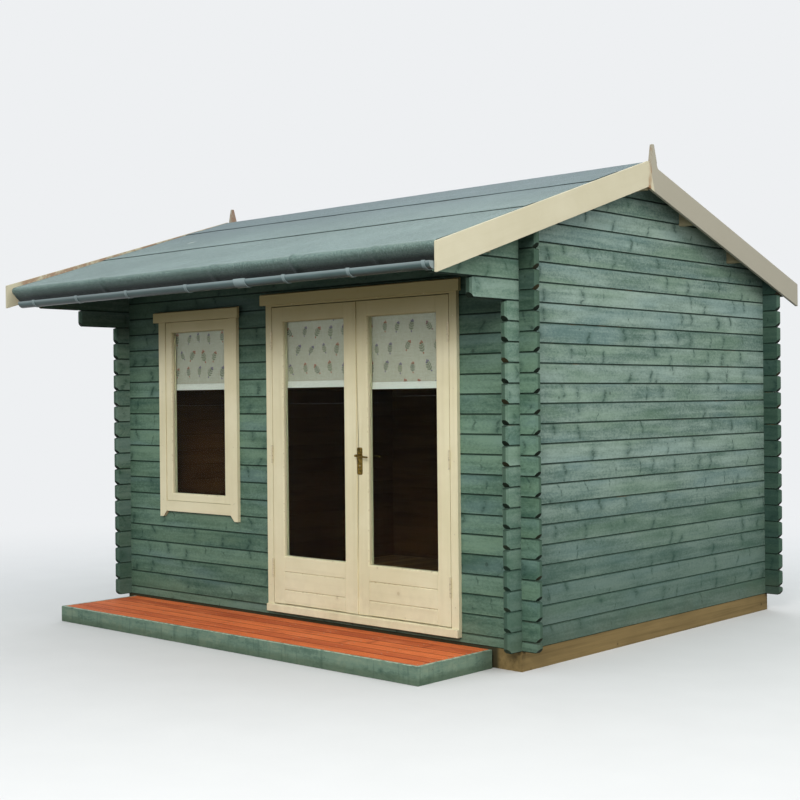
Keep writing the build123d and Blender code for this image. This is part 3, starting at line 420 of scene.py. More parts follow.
def paint(name, axis, other=None, where=None, stain=None, grey_and_shade=None):
    """Cream paint on timber, with brush marks, a little dirt, worn edges, painted shade on downward faces
    and painted shadow below the eave. stain is a mask of brown run-off, and the last mask one of greyer
    paint with painted shade."""
    s = Shader(name)
    grain = mixed_grain(s, axis, other, where)
    brush = s.drawn(grain, (5.0, 330.0, 330.0), 3.0, 0.55)
    swell = s.drawn(grain, (1.4, 30.0, 30.0), 3.0, 0.5)
    cloud = s.noise(s.place, 2.3, 4.0, 0.6)
    colour = s.blend(s.step(cloud, 0.3, 0.75), (218, 209, 172), (230, 222, 188))
    colour = s.cover(colour, (198, 187, 150), s.step(swell, 0.45, 0.75), 0.22)
    colour = s.cover(colour, (232, 225, 198), s.step(brush, 0.55, 0.8), 0.22)
    knot, halo = knots(s, grain, 2.2, 0.004, 0.012)
    colour = s.cover(colour, (150, 126, 84), knot, 0.30)
    colour = s.cover(colour, (160, 138, 98), halo, 0.08)
    squareness = s.larger(s.abs(s.nx), s.larger(s.abs(s.ny), s.abs(s.nz)))
    edge = s.step(squareness, 0.93, 0.84)
    chips = s.step(s.noise(s.place, 55.0, 3.0, 0.6), 0.56, 0.66)
    colour = s.cover(colour, (168, 146, 104), s.times(edge, chips), 0.5)
    # Painted shade: faces that look down are darker
    underside_shade = s.step(s.nz, -0.5, -0.9)
    colour = s.cover(colour, (128, 112, 78), underside_shade, 0.35)
    dirt = s.times(s.step(s.z, 0.55, 0.10), s.step(s.noise(s.place, 9.0, 4.0, 0.65), 0.40, 0.65))
    colour = s.cover(colour, (150, 134, 98), dirt, 0.16)
    # Painted shadow of the eave: trim from about 1.7 to 2.2 m high turns dark olive
    painted_eave_shadow = s.times(s.step(s.z, 1.72, 2.18), s.step(s.abs(s.x), 1.80, 1.70))
    colour = s.cover(colour, (120, 106, 42), painted_eave_shadow, 0.80)
    # Greyer paint, deepened by painted shade on the rear boards
    if grey_and_shade:
        colour = s.cover(colour, (144, 139, 125), grey_and_shade(s), 0.90)
    if stain:
        colour = s.blend(stain(s), colour, (134, 92, 48))
        inner = s.times(s.step(s.nx, 0.6, 0.8), s.step(s.x, -1.90, -1.94))
        inner = s.times(inner, s.step(s.y, -2.27, -2.16))
        soiled = s.times(inner, s.step(s.noise(s.place, 16.0, 5.0, 0.75), 0.36, 0.56))
        colour = s.cover(colour, (142, 100, 78), soiled, 0.72)
    relief = s.plus(brush, s.times(swell, 0.8))
    return s.finish(colour, 0.46, relief, 0.22, 0.0007, Specular_IOR_Level=0.18)


def ridge_stain(s):
    """Run-off below the ends of the ridge's felt."""
    ragged = s.times(s.noise(s.place, 22.0, 4.0), 0.05)
    near = s.step(s.plus(s.abs(s.minus(s.y, RIDGE_Y + 0.02)), ragged), 0.055, 0.025)
    return s.times(near, s.step(s.drawn(s.place, (1.0, 60.0, 6.0), 3.0), 0.35, 0.7))


def behind_joint(s):
    """Greyer paint on the bargeboards, with painted shade on the boards behind their joint at the ridge."""
    off = s.minus(s.minus(s.y, RIDGE_Y + 0.012), s.times(s.minus(RIDGE_Z, s.z), math.tan(PITCH)))
    return s.larger(0.57, s.step(off, -0.0004, 0.0004))


def beyond(reach):
    """A mask of what lies further than reach from the window's middle."""
    return lambda s: s.step(s.abs(s.minus(s.x, WINDOW_X)), reach - 0.0003, reach + 0.0003)


def felt_material():
    """Green mineral felt with granules, drifts of paler and darker granules and streaks down the slope."""
    s = Shader("felt")
    grit = s.noise(s.place, 900.0, 2.0, 0.7)
    speck = s.add("TexVoronoi", {"Vector": s.place, "Scale": 420.0}, output="Color")
    speck = s.split(speck)[0]
    patch = s.drawn(s.place, (1.6, 2.4, 2.4), 5.0, 0.62)
    streak = s.drawn(s.place, (16.0, 1.6, 1.6), 4.0, 0.6)
    grain = s.noise(s.place, 110.0, 4.0, 0.85)
    colour = s.blend(s.step(patch, 0.30, 0.72), (82, 104, 97), (104, 126, 120))
    colour = s.cover(colour, (68, 88, 82), s.step(streak, 0.42, 0.72), 0.35)
    colour = s.cover(colour, (142, 162, 156), s.step(grain, 0.52, 0.64), 0.60)
    colour = s.cover(colour, (48, 66, 62), s.step(grain, 0.48, 0.36), 0.62)
    colour = s.cover(colour, (160, 176, 168), s.step(speck, 0.80, 0.95), 0.50)
    colour = s.cover(colour, (46, 58, 54), s.step(speck, 0.22, 0.08), 0.55)
    down = from_ridge(s)[2]
    wander = s.spread(s.drawn(s.place, (3.0, 0.2, 0.2), 3.0), 0.05)
    band = s.abs(s.minus(s.plus(down, wander), EAVE_FACE - 0.03))
    pale = s.times(s.step(band, 0.05, 0.01), s.step(s.noise(s.place, 14.0, 4.0, 0.7), 0.3, 0.6))
    colour = s.cover(colour, (128, 144, 134), pale, 0.30)
    spot = s.add("VectorMath", {0: s.place, 1: (-1.337, -1.197, 2.66)}, output=1, operation="DISTANCE")
    spot = s.plus(spot, s.times(s.noise(s.place, 40.0, 3.0), 0.03))
    colour = s.cover(colour, (196, 200, 186), s.step(spot, 0.055, 0.030), 0.6)
    # Painted shade on felt faces that turn down, such as the face below the nose
    colour = s.cover(colour, (44, 58, 50), s.step(s.nz, 0.45, -0.35), 0.25)
    colour = s.cover(colour, (58, 78, 86), s.step(s.z, 2.52, 2.88), 0.58)
    # Painted shade: the foot of the face, just above the gutter, turns almost black
    colour = s.cover(colour, (10, 16, 15), s.step(s.z, 2.284, 2.232), 0.95)
    return s.finish(colour, 0.72, s.plus(grit, s.times(speck, 0.8)), 0.5, 0.0010, Specular_IOR_Level=0.15,
                    Sheen_Weight=0.22, Sheen_Roughness=0.40, Sheen_Tint=(0.84, 0.95, 1.0, 1.0))


def bitumen_material():
    s = Shader("bitumen")
    lump = s.noise(s.place, 90.0, 4.0, 0.6)
    return s.finish(s.blend(lump, (14, 18, 17), (40, 48, 45)), 0.62, lump, 0.5, 0.002,
                    Specular_IOR_Level=0.2)


def plastic_material(name, colour, shade, painted_light_and_shade=0.0):
    s = Shader(name)
    cloud = s.drawn(s.place, (1.4, 9.0, 9.0), 4.0, 0.6)
    dust = s.noise(s.place, 60.0, 4.0, 0.65)
    tint = s.blend(s.step(cloud, 0.35, 0.7), shade, colour)
    # Painted reflection on the upper faces that look to the sky, and painted shade on the lower side
    tint = s.cover(tint, (170, 182, 184), s.step(s.nz, -0.45, 0.05), painted_light_and_shade)
    tint = s.blend(s.math("MULTIPLY", s.step(s.nz, -0.40, -0.90), 2.0 * painted_light_and_shade, clamp=True), tint,
                   (34, 44, 42))
    tint = s.cover(tint, (96, 104, 96), s.step(dust, 0.5, 0.75), 0.22)
    return s.finish(tint, s.either(dust, 0.30, 0.48), dust, 0.08, 0.0006, Specular_IOR_Level=0.3)


def glass_material():
    """Clear glass with a faint film of dust that roughens it a little."""
    s = Shader("glass")
    film = s.noise(s.place, 7.0, 4.0, 0.6)
    return s.finish((238, 244, 240), s.either(s.step(film, 0.4, 0.8), 0.0, 0.035), None,
                    Transmission_Weight=1.0, IOR=1.07)


def brass_material():
    s = Shader("brass")
    tarnish = s.noise(s.place, 60.0, 5.0, 0.65)
    rub = s.drawn(s.place, (40.0, 40.0, 400.0), 2.0)
    colour = s.blend(s.step(tarnish, 0.35, 0.7), (132, 108, 50), (62, 54, 28))
    rough = s.plus(0.26, s.times(tarnish, 0.28))
    return s.finish(colour, rough, rub, 0.06, 0.0003, Metallic=1.0)


def hinge_material():
    """Hinges painted over with the doors, with bare metal where the knuckles rub."""
    s = Shader("painted_hinge")
    chip = s.noise(s.place, 130.0, 4.0, 0.65)
    bare = s.step(chip, 0.54, 0.62)
    colour = s.cover((206, 194, 160), (120, 112, 96), bare, 0.7)
    return s.finish(colour, s.either(bare, 0.45, 0.35), chip, 0.25, 0.0005)


def zinc_material():
    s = Shader("zinc_screws")
    spangle = s.noise(s.place, 700.0, 2.0)
    return s.finish(s.blend(spangle, (120, 112, 96), (164, 156, 136)), s.either(spangle, 0.35, 0.6),
                    spangle, 0.2, 0.0002, Metallic=0.8)


def linen_material():
    """Pale linen with a plain weave and loosely scattered sprigs, each at its own place, size and lean."""
    s = Shader("linen")
    warp = s.math("SINE", s.times(s.x, 2 * math.pi / 0.0013))
    weft = s.math("SINE", s.times(s.z, 2 * math.pi / 0.0013))
    slub = s.drawn(s.place, (26.0, 26.0, 900.0), 3.0, 0.6)
    rib = s.drawn(s.place, (900.0, 26.0, 26.0), 3.0, 0.6)
    weave = s.plus(s.times(s.plus(warp, weft), 0.25), s.plus(slub, rib))
    colour = s.blend(s.step(s.plus(slub, rib), 0.75, 1.25), (168, 164, 148), (194, 190, 176))
    colour = s.cover(colour, (160, 152, 132), s.step(s.noise(s.place, 6.0, 3.0), 0.4, 0.7), 0.2)
    cell = 0.118
    # Rows of sprigs, every other one shifted by half a cell
    rows = s.math("DIVIDE", s.z, cell)
    row = s.math("FLOOR", rows)
    columns = s.plus(s.math("DIVIDE", s.x, cell), s.times(row, 0.5))
    key = s.plus(s.times(s.math("FLOOR", columns), 7.13), s.times(row, 3.31))
    jitter_x = s.spread(s.dice(key), 0.26)
    jitter_z = s.spread(s.dice(s.plus(key, 0.3)), 0.20)
    px = s.plus(s.minus(s.math("FRACT", columns), 0.5), jitter_x)
    pz = s.plus(s.minus(s.math("FRACT", rows), 0.5), jitter_z)
    lean = s.spread(s.dice(s.plus(key, 0.6)), 1.5)
    size = s.either(s.dice(s.plus(key, 0.8)), 0.92, 1.30)
    turned_x = s.minus(s.times(px, s.math("COSINE", lean)), s.times(pz, s.math("SINE", lean)))
    turned_z = s.plus(s.times(px, s.math("SINE", lean)), s.times(pz, s.math("COSINE", lean)))
    px = s.times(turned_x, size)
    pz = s.times(turned_z, size)
    px = s.minus(px, s.times(s.math("POWER", pz, 2.0), 0.35))
    stem = s.times(s.step(s.abs(px), 0.026, 0.010), s.step(s.abs(pz), 0.32, 0.29))
    leaves = 0.0
    for level, length in ((-0.22, 0.17), (-0.08, 0.20), (0.06, 0.16), (0.19, 0.11)):
        out = s.minus(s.abs(px), length * 0.55)
        rise = s.minus(s.minus(pz, level), s.times(s.abs(px), 0.6))
        reach = s.plus(s.math("POWER", s.math("DIVIDE", out, length * 0.5), 2.0),
                       s.math("POWER", s.math("DIVIDE", rise, 0.045), 2.0))
        leaves = s.larger(leaves, s.step(reach, 1.15, 0.75))
    berries = 0.0
    for x, z in ((0.0, 0.33), (-0.075, 0.25), (0.080, 0.26), (0.02, -0.33)):
        near = s.plus(s.math("POWER", s.minus(px, x), 2.0), s.math("POWER", s.minus(pz, z), 2.0))
        berries = s.larger(berries, s.step(near, 0.0036, 0.0018))
    leaf_tone = s.blend(s.dice(s.plus(key, 0.5)), (46, 72, 46), (88, 104, 62))
    berry_tone = s.blend(s.step(s.dice(s.plus(key, 0.9)), 0.45, 0.55), (158, 70, 46), (96, 74, 122))
    colour = s.cover(colour, leaf_tone, s.larger(stem, leaves), 0.80)
    colour = s.cover(colour, berry_tone, berries, 0.85)
    return s.finish(colour, 0.85, weave, 0.25, 0.0004, Sheen_Weight=0.15)


def hem_material():
    s = Shader("hem_linen")
    slub = s.drawn(s.place, (26.0, 26.0, 900.0), 3.0, 0.6)
    stitch = s.step(s.math("SINE", s.times(s.x, 2 * math.pi / 0.006)), -0.2, 0.4)
    colour = s.blend(s.step(slub, 0.35, 0.7), (214, 212, 204), (234, 232, 226))
    return s.finish(colour, 0.82, s.plus(slub, s.times(stitch, 0.3)), 0.25, 0.0004, Sheen_Weight=0.15)


def drift(x, y, z):
    """A value from about -1 to 1 that wanders smoothly from place to place."""
    return noise.noise(Vector((x, y, z)))


def spaced(first, last, count):
    """Evenly spaced values from first to last."""
    return [first + (last - first) * step / (count - 1) for step in range(count)]


def circle(sides):
    """The corners of a polygon round 0, 0 at distance 1."""
    angles = [2 * math.pi * corner / sides for corner in range(sides)]
    return [(math.cos(angle), math.sin(angle)) for angle in angles]


def on_slope(side, along, depth):
    """(y, z) of a point on a roof slope, side -1 in front and +1 behind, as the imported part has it."""
    y = RIDGE_Y + side * (along * math.cos(PITCH) - depth * math.sin(PITCH))
    z = RIDGE_Z - along * math.sin(PITCH) - depth * math.cos(PITCH)
    return y, z


def mesh_object(name, vertices, faces, materials):
    mesh = bpy.data.meshes.new(name)
    mesh.from_pydata(vertices, [], faces)
    mesh.update()
    for material in materials:
        mesh.materials.append(material)
    return linked(name, mesh)


def linked(name, data):
    """A new object in the scene."""
    obj = bpy.data.objects.new(name, data)
    bpy.context.scene.collection.objects.link(obj)
    return obj


def piece(name, vertices, faces, materials, body):
    """A mesh object that rides on a body."""
    obj = mesh_object(name, vertices, faces, materials)
    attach(obj, body)
    return obj


def grid_faces(columns, rows):
    """Faces of a grid whose vertices run along the columns first."""
    faces = []
    for row in range(rows - 1):
        for column in range(columns - 1):
            first = row * columns + column
            faces.append((first, first + 1, first + columns + 1, first + columns))
    return faces


def prism_faces(sides, rings=2):
    """Faces of a closed prism of rings of vertices, with a cap at each end."""
    last = (rings - 1) * sides
    faces = [tuple(range(sides))[::-1], tuple(range(last, last + sides))]
    for ring in range(0, last, sides):
        for corner in range(sides):
            here = ring + corner
            following = ring + (corner + 1) % sides
            faces.append((here, following, following + sides, here + sides))
    return faces


def smooth(obj):
    for polygon in obj.data.polygons:
        polygon.use_smooth = True


def add_thickness(obj, thickness, rim_material=0):
    """Thickness inwards from the shown face."""
    modifier = obj.modifiers.new("thickness", "SOLIDIFY")
    modifier.thickness = thickness
    modifier.offset = -1
    modifier.material_offset_rim = rim_material


# Folds near the front eave: place in x, lean and height
EAVE_FOLDS = ((0.885, 0.45, 0.0065), (1.50, -0.30, 0.0035), (0.18, 0.25, 0.0030), (-0.92, -0.4, 0.0032))


def sheet_ripple(x, along, side):
    """How far the felt stands off the boards: long swells with folds that run down the slope."""
    swell = drift(x * 1.1, along * 1.6, side * 5.0)
    fold = drift(x * 5.5, along * 0.7, 9.0 + side)
    pucker = drift(x * 14.0, along * 3.0, 4.0 + side)
    ripple = 0.0012 + 0.0012 * swell + 0.0011 * fold + 0.0005 * pucker
    if side < 0:
        near_eave = max(0.0, 1 - (EAVE_FACE - along) / 0.24)
        for place, lean, size in EAVE_FOLDS:
            off = x - place - lean * (EAVE_FACE - along)
            ripple += size * near_eave * math.exp(-(off / 0.022) ** 2)
        ripple += 0.0022 * near_eave * (0.5 + drift(x * 2.3, 7.0, 2.0))
    return ripple


def wavy(x, seed, size):
    """How far a lap strays from its line."""
    slow = drift(x * 1.3, seed, 0.0)
    return size * (slow + 0.5 * drift(x * 4.1, seed, 3.0))


def felt_surface(name, path, rows, replaced, flip):
    """One felt sheet. path(x, t) gives (side, along, depth) for t from 0 to 1."""
    low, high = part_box(replaced[0])
    columns = 241
    vertices = []
    for t in spaced(0.0, 1.0, rows):
        for x in spaced(low.x, high.x, columns):
            vertices.append((x, *on_slope(*path(x, t))))
    faces = grid_faces(columns, rows)
    if flip:
        faces = [face[::-1] for face in faces]
    sheet = piece(name, vertices, faces, [felt, bitumen], "cabin")
    smooth(sheet)
    add_thickness(sheet, FELT_THICKNESS, 1)
    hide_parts(*replaced)


def lower_sheet_path(side):
    """The eave sheet: down the boards, over the rounded nose and down the leaning face."""
    top = 1.17
    straight = EAVE_FACE - NOSE_RADIUS - top
    turn = math.pi / 2 + FACE_LEAN
    face = (FLAP_END - NOSE_RADIUS * (1 + math.sin(FACE_LEAN))) / math.cos(FACE_LEAN)

    def path(x, t):
        # Half of the rows lie on the slope and the rest round the nose and on the face
        if t < 0.5:
            along = top + straight * t / 0.5
            near_nose = max(0.0, (along - 1.7) / (EAVE_FACE - 1.7))
            lift = sheet_ripple(x, along, side) * (1 + 0.5 * near_nose)
            return side, along, FELT_TOP - lift
        radius = NOSE_RADIUS + sheet_ripple(x, EAVE_FACE, side) * 1.5
        angle = min(1.0, (t - 0.5) / 0.25) * turn
        run = max(0.0, t - 0.75) / 0.25 * (face - 0.004 + wavy(x, 2.0 + side, 0.004))
        along = EAVE_FACE - NOSE_RADIUS + radius * math.sin(angle) - run * math.sin(FACE_LEAN)
        depth = FELT_TOP + NOSE_RADIUS - radius * math.cos(angle) + run * math.cos(FACE_LEAN)
        return side, along, depth

    return path


def upper_sheet_path(side):
    """The sheet between the ridge cap and the lower sheet, which it laps over."""
    top = 0.34

    def path(x, t):
        along = top + (lap_edge(x, side) - top) * t
        rise = min(1.0, max(0.0, (along - 1.13) / 0.06))
        lift = sheet_ripple(x, along, side)
        return side, along, FELT_TOP - LAP_RISE * rise - lift * (1 - 0.6 * rise)

    return path


def cap_edge(x, side):
    """How far down a slope the ridge cap ends."""
    if side < 0:
        return UPPER_LAP + CAP_SKEW * x + wavy(x, 11.0, 0.022)
    return UPPER_LAP + wavy(x, 14.0, 0.018)


def lap_edge(x, side):
    """How far down a slope the upper sheet ends."""
    return LOWER_LAP + wavy(x, 5.0 + side, 0.012)


def ridge_cap_path():
    """The cap over the ridge, with one lap on each slope."""

    def path(x, t):
        rear = cap_edge(x, 1)
        place = -rear + (cap_edge(x, -1) + rear) * t
        side = -1 if place > 0 else 1
        along = abs(place)
        rise = min(1.0, max(0.0, (along - 0.28) / 0.06))
        crease = max(0.0, 1 - along / 0.02) * 0.003
        lift = sheet_ripple(x, along, side) * min(1.0, along / 0.05)
        return side, along, FELT_TOP - LAP_RISE * rise - lift * (1 - 0.6 * rise) + crease

    return path


def lap_seals():
    """A thin bead of bitumen that shows below each lap."""
    low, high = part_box("ridge_felt")
    section = 6
    count = 200
    for name, side, edge in (
        ("front_cap_bead", -1, cap_edge),
        ("rear_cap_bead", 1, cap_edge),
        ("front_lap_bead", -1, lap_edge),
        ("rear_lap_bead", 1, lap_edge),
    ):
        vertices = []
        for x in spaced(low.x + 0.001, high.x - 0.001, count):
            gape = max(0.0, drift(x * 2.9, side * 3.0, len(name) * 1.7) + 0.1)
            swell = 0.0020 + 0.0011 * drift(x * 21.0, side, 1.0) + 0.0052 * gape
            place = edge(x, side)
            face = FELT_TOP - sheet_ripple(x, place, side)
            for level, upright in circle(section):
                along = place + 0.001 + 1.7 * swell * level
                depth = face - 0.4 * swell + 0.8 * swell * upright
                vertices.append((x, *on_slope(side, along, depth)))
        bead = piece(name, vertices, prism_faces(section, count), [bitumen], "cabin")
        smooth(bead)


def make_felt():
    for side, where in ((-1, "front"), (1, "rear")):
        felt_surface(where + "_felt_eave", lower_sheet_path(side), 81, [where + "_felt_lower_sheet"],
                     side > 0)
        felt_surface(where + "_felt_middle", upper_sheet_path(side), 46, [where + "_felt_upper_sheet"],
                     side > 0)
    felt_surface("ridge_cap", ridge_cap_path(), 61, ["ridge_felt"], False)
    lap_seals()


def deck_board_fronts():
    """Where the front edge of each deck board lies, and how wide a board is."""
    low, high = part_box("deck_boards")
    width = (high.y - low.y - (DECK_BOARDS - 1) * DECK_GAP) / DECK_BOARDS
    return [low.y + index * (width + DECK_GAP) for index in range(DECK_BOARDS)], width


def make_deck_boards():
    """Grooved deck boards."""
    low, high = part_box("deck_boards")
    fronts, width = deck_board_fronts()
    rounding = 0.004
    grooves = 7
    mouth = 0.0026
    foot = 0.0011
    groove_z = high.z - 0.0016
    for index, y0 in enumerate(fronts):
        y1 = y0 + width
        profile = [(y0, low.z), (y1, low.z), (y1, high.z - rounding), (y1 - rounding, high.z)]
        pitch = (width - 2 * rounding) / (grooves + 1)
        for number in range(grooves, 0, -1):
            y = y0 + rounding + pitch * number
            profile += [(y + mouth, high.z), (y + foot, groove_z), (y - foot, groove_z),
                        (y - mouth, high.z)]
        profile += [(y0 + rounding, high.z), (y0, high.z - rounding)]
        vertices = [(x, y, z) for x in (low.x, high.x) for y, z in profile]
        board = piece(f"deck_board_{index + 1}", vertices, prism_faces(len(profile)), [deck_wood], "cabin")
        if index == 0:
            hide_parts("deck_boards")


def make_blind(name, node, wood, body):
    """A cloth on its roll, with a stitched hem bar and two brackets on the wood behind the glass."""
    low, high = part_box(node)
    bracket = 0.006
    slack = 0.0003
    left = low.x + bracket
    right = high.x - bracket
    radius = 0.012
    roll_z = high.z - radius
    roll_y = high.y - radius
    cloth_y = roll_y - radius - 0.0008
    hem_top = low.z + 0.042
    columns = 61
    rows = 41
    vertices = []
    for t in spaced(0.0, 1.0, rows):
        for x in spaced(left, right, columns):
            sway = 0.0012 * drift(x * 7.0, t * 1.5, low.x * 10) * math.sin(math.pi * t) ** 0.5
            vertices.append((x, cloth_y + sway, roll_z + (low.z + 0.002 - roll_z) * t))
    cloth = piece(name + "_cloth", vertices, grid_faces(columns, rows), [linen], body)
    smooth(cloth)
    add_thickness(cloth, 0.0007)
    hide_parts(node)

    core = 0.0085
    turns = 2.6
    steps = 100
    spiral = []
    for step in range(steps + 1):
        angle = 2 * math.pi * turns * step / steps + math.pi
        reach = core + (radius - core) * step / steps
        spiral.append((roll_y + reach * math.cos(angle), roll_z + reach * math.sin(angle)))
    vertices = [(x, y, z) for x in (left + 0.001, right - 0.001) for y, z in spiral]
    count = len(spiral)
    faces = [(i, i + 1, count + i + 1, count + i) for i in range(count - 1)]
    roll = piece(name + "_roll", vertices, faces, [linen], body)
    smooth(roll)
    add_thickness(roll, 0.0006)

    tube = round_bar(name + "_tube", (left, roll_y, roll_z), (right, roll_y, roll_z), 0.0078, white_plastic,
                     body)
    hem = soft_box(name + "_hem", (left, cloth_y - 0.0035, low.z), (right, cloth_y + 0.0012, hem_top),
                   0.0016, hem_linen, body)
    for end, x0 in (("left", low.x), ("right", right + slack)):
        soft_box(f"{name}_{end}_bracket", (x0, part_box(wood)[1].y, roll_z - radius),
                 (x0 + bracket - slack, high.y, high.z), 0.0012, white_plastic, body)


def round_bar(name, start, end, radius, material, body):
    """A round bar along X, part of a blind."""
    corners = [(start[1] + radius * u, start[2] + radius * v) for u, v in circle(24)]
    vertices = [(x, y, z) for x in (start[0], end[0]) for y, z in corners]
    faces = [face[::-1] for face in prism_faces(len(corners))]
    return piece(name, vertices, faces, [material], body)


def soft_box(name, low, high, edge, material, body):
    """A box with rounded edges, part of a blind."""
    corners = [(x, y, z) for z in (low[2], high[2]) for y in (low[1], high[1]) for x in (low[0], high[0])]
    faces = [(0, 2, 3, 1), (4, 5, 7, 6), (0, 1, 5, 4), (2, 6, 7, 3), (0, 4, 6, 2), (1, 3, 7, 5)]
    box = piece(name, corners, faces, [material], body)
    bevel = box.modifiers.new("edges", "BEVEL")
    bevel.width = edge
    bevel.segments = 2
    return box


def screws(name, places, towards, radius, material):
    """Countersunk screw heads with a cross recess, all in one mesh. towards is the way they face."""
    turn = Vector(towards).to_track_quat("Z", "Y").to_matrix()
    sides = 12
    vertices = []
    faces = []
    for place in places:
        base = len(vertices)
        centre = Vector(place)
        for reach, height in ((radius, 0.0), (radius * 0.9, 0.0006), (radius * 0.5, 0.0006)):
            for corner, (u, v) in enumerate(circle(sides)):
                narrow = 0.55 if reach < radius * 0.6 and corner % 3 else 1.0
                local = Vector((reach * narrow * u, reach * narrow * v, height))
                vertices.append(centre + turn @ local)
        vertices.append(centre + turn @ Vector((0, 0, -0.0008)))
        hub = len(vertices) - 1
        for ring in range(2):
            for corner in range(sides):
                following = (corner + 1) % sides
                first = base + ring * sides
                faces.append((first + corner, first + following, first + sides + following,
                              first + sides + corner))
        for corner in range(sides):
            faces.append((base + 2 * sides + corner, base + 2 * sides + (corner + 1) % sides, hub))
    piece(name, vertices, faces, [material], "cabin")


def jamb_screws(node, inset, count, pitch):
    """Places of the screws up both jambs of a frame."""
    low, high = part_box(node)
    heights = [low.z + 0.12 + step * pitch for step in range(count)]
    return [(x, low.y, z) for x in (low.x + inset, high.x - inset) for z in heights]


def make_screws():
    low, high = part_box("deck_boards")
    fronts, width = deck_board_fronts()
    from_end = 0.022
    from_edge = 0.024
    joists = 10
    places = []
    for x in spaced(low.x + from_end, high.x - from_end, joists):
        for y0 in fronts:
            places += [(x, y0 + from_edge, high.z), (x, y0 + width - from_edge, high.z)]
    screws("deck_screws", places, (0, 0, 1), 0.0042, zinc)
    low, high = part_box("door_frame")
    in_head = [(x, low.y, high.z - 0.044) for x in spaced(low.x + 0.25, high.x - 0.25, 4)]
    beside_doors = jamb_screws("door_frame", 0.0275, 5, 0.42)
    beside_window = jamb_screws("window_frame", 0.036, 4, 0.38)
    places = beside_doors + in_head + beside_window
    screws("casing_screws", places, (0, -1, 0), 0.0035, painted_hinge)


def bevelled(names, width):
    """Weld the seams that the file's sharp edges leave, and round the edges a little."""
    for name in names:
        weld = nodes[name].modifiers.new("weld", "WELD")
        weld.merge_threshold = 0.00005
        bevel = nodes[name].modifiers.new("edges", "BEVEL")
        bevel.width = width
        bevel.segments = 2
        bevel.limit_method = "ANGLE"
        bevel.angle_limit = math.radians(40)
        bevel.use_clamp_overlap = True
        normals = nodes[name].modifiers.new("normals", "WEIGHTED_NORMAL")
        normals.weight = 100


def dress(names, material):
    for name in names:
        slots = nodes[name].data.materials
        slots.clear()
        slots.append(material)


def looked_at(tree):
    """1 for a ray from the camera, also by way of a mirror or through glass."""
    rays = add_node(tree, "LightPath", {}).node.outputs
    seen = rays["Is Camera Ray"]
    for name in ("Is Glossy Ray", "Is Transmission Ray"):
        seen = add_node(tree, "Math", {0: seen, 1: rays[name]}, operation="MAXIMUM")
    return seen


def make_stage():
    """A plain pale floor that fades into the background."""
    reach = 60.0
    vertices = [(-reach, -reach, 0.0), (reach, -reach, 0.0), (reach, reach, 0.0), (-reach, reach, 0.0)]
    s = Shader("floor")
    speckle = s.noise(s.place, 3.0, 4.0)
    pale = s.blend(speckle, (202, 202, 200), (208, 208, 206))
    near = s.finish(s.blend(looked_at(s.tree), (54, 56, 50), pale), 0.9)
    glow = s.add("Emission", {"Color": BACKGROUND, "Strength": 1.0})
    distance = s.add("VectorMath", {0: s.place}, output=1, operation="LENGTH")
    output = s.tree.nodes["Material Output"]
    mixed = s.add("MixShader", {0: s.step(distance, 2.8, 8.5), 1: s.surface.outputs[0], 2: glow})
    s.tree.links.new(mixed, output.inputs["Surface"])
    floor = mesh_object("floor", vertices, [(0, 1, 2, 3)], [near])


def make_world():
    """Soft light from the sky, less from near the horizon, and a pale background where it is looked at."""
    world = bpy.data.worlds.new("studio")
    bpy.context.scene.world = world
    world.use_nodes = True
    tree = world.node_tree
    tree.nodes.clear()
    shown = add_node(tree, "Background", {"Color": BACKGROUND})
    direction = add_node(tree, "TexCoord", {}, "Generated")
    height = add_node(tree, "SeparateXYZ", {0: direction}, "Z")
    sky = add_node(tree, "MapRange",
                   {"Value": height, "From Min": -0.05, "From Max": 0.45, "To Min": 0.15, "To Max": 1.18},
                   interpolation_type="SMOOTHSTEP")
    light = add_node(tree, "Background", {"Color": (0.90, 0.95, 1.0, 1.0), "Strength": sky})
    mixed = add_node(tree, "MixShader", {0: looked_at(tree), 1: light, 2: shown})
    output = tree.nodes.new("ShaderNodeOutputWorld")
    tree.links.new(mixed, output.inputs["Surface"])


def lamp(name, place, aim, size, power, colour):
    light = bpy.data.lights.new(name, "AREA")
    light.shape = "DISK"
    light.size = size
    light.energy = power
    light.color = colour
    obj = linked(name, light)
    obj.location = place
    obj.rotation_mode = "QUATERNION"
    obj.rotation_quaternion = (Vector(aim) - Vector(place)).to_track_quat("-Z", "Y")


def make_camera():
    """The photograph's viewpoint."""
    yaw = math.radians(42.50)
    pitch = math.radians(0.082)
    roll = math.radians(-0.559)
    forward = Vector((-math.sin(yaw) * math.cos(pitch), math.cos(yaw) * math.cos(pitch), -math.sin(pitch)))
    right = Vector((math.cos(yaw), math.sin(yaw), 0.0))
    up = right.cross(forward)
    right, up = (math.cos(roll) * right + math.sin(roll) * up, math.cos(roll) * up - math.sin(roll) * right)
    focal_pixels = 1344.3
    picture_pixels = 800
    data = bpy.data.cameras.new("camera")
    data.sensor_fit = "HORIZONTAL"
    data.sensor_width = 36.0
    data.lens = focal_pixels / picture_pixels * data.sensor_width
    camera = linked("camera", data)
    turn = Matrix((right, up, -forward)).transposed().to_4x4()
    camera.matrix_world = Matrix.Translation((6.334, -7.349, 1.522)) @ turn
    bpy.context.scene.camera = camera


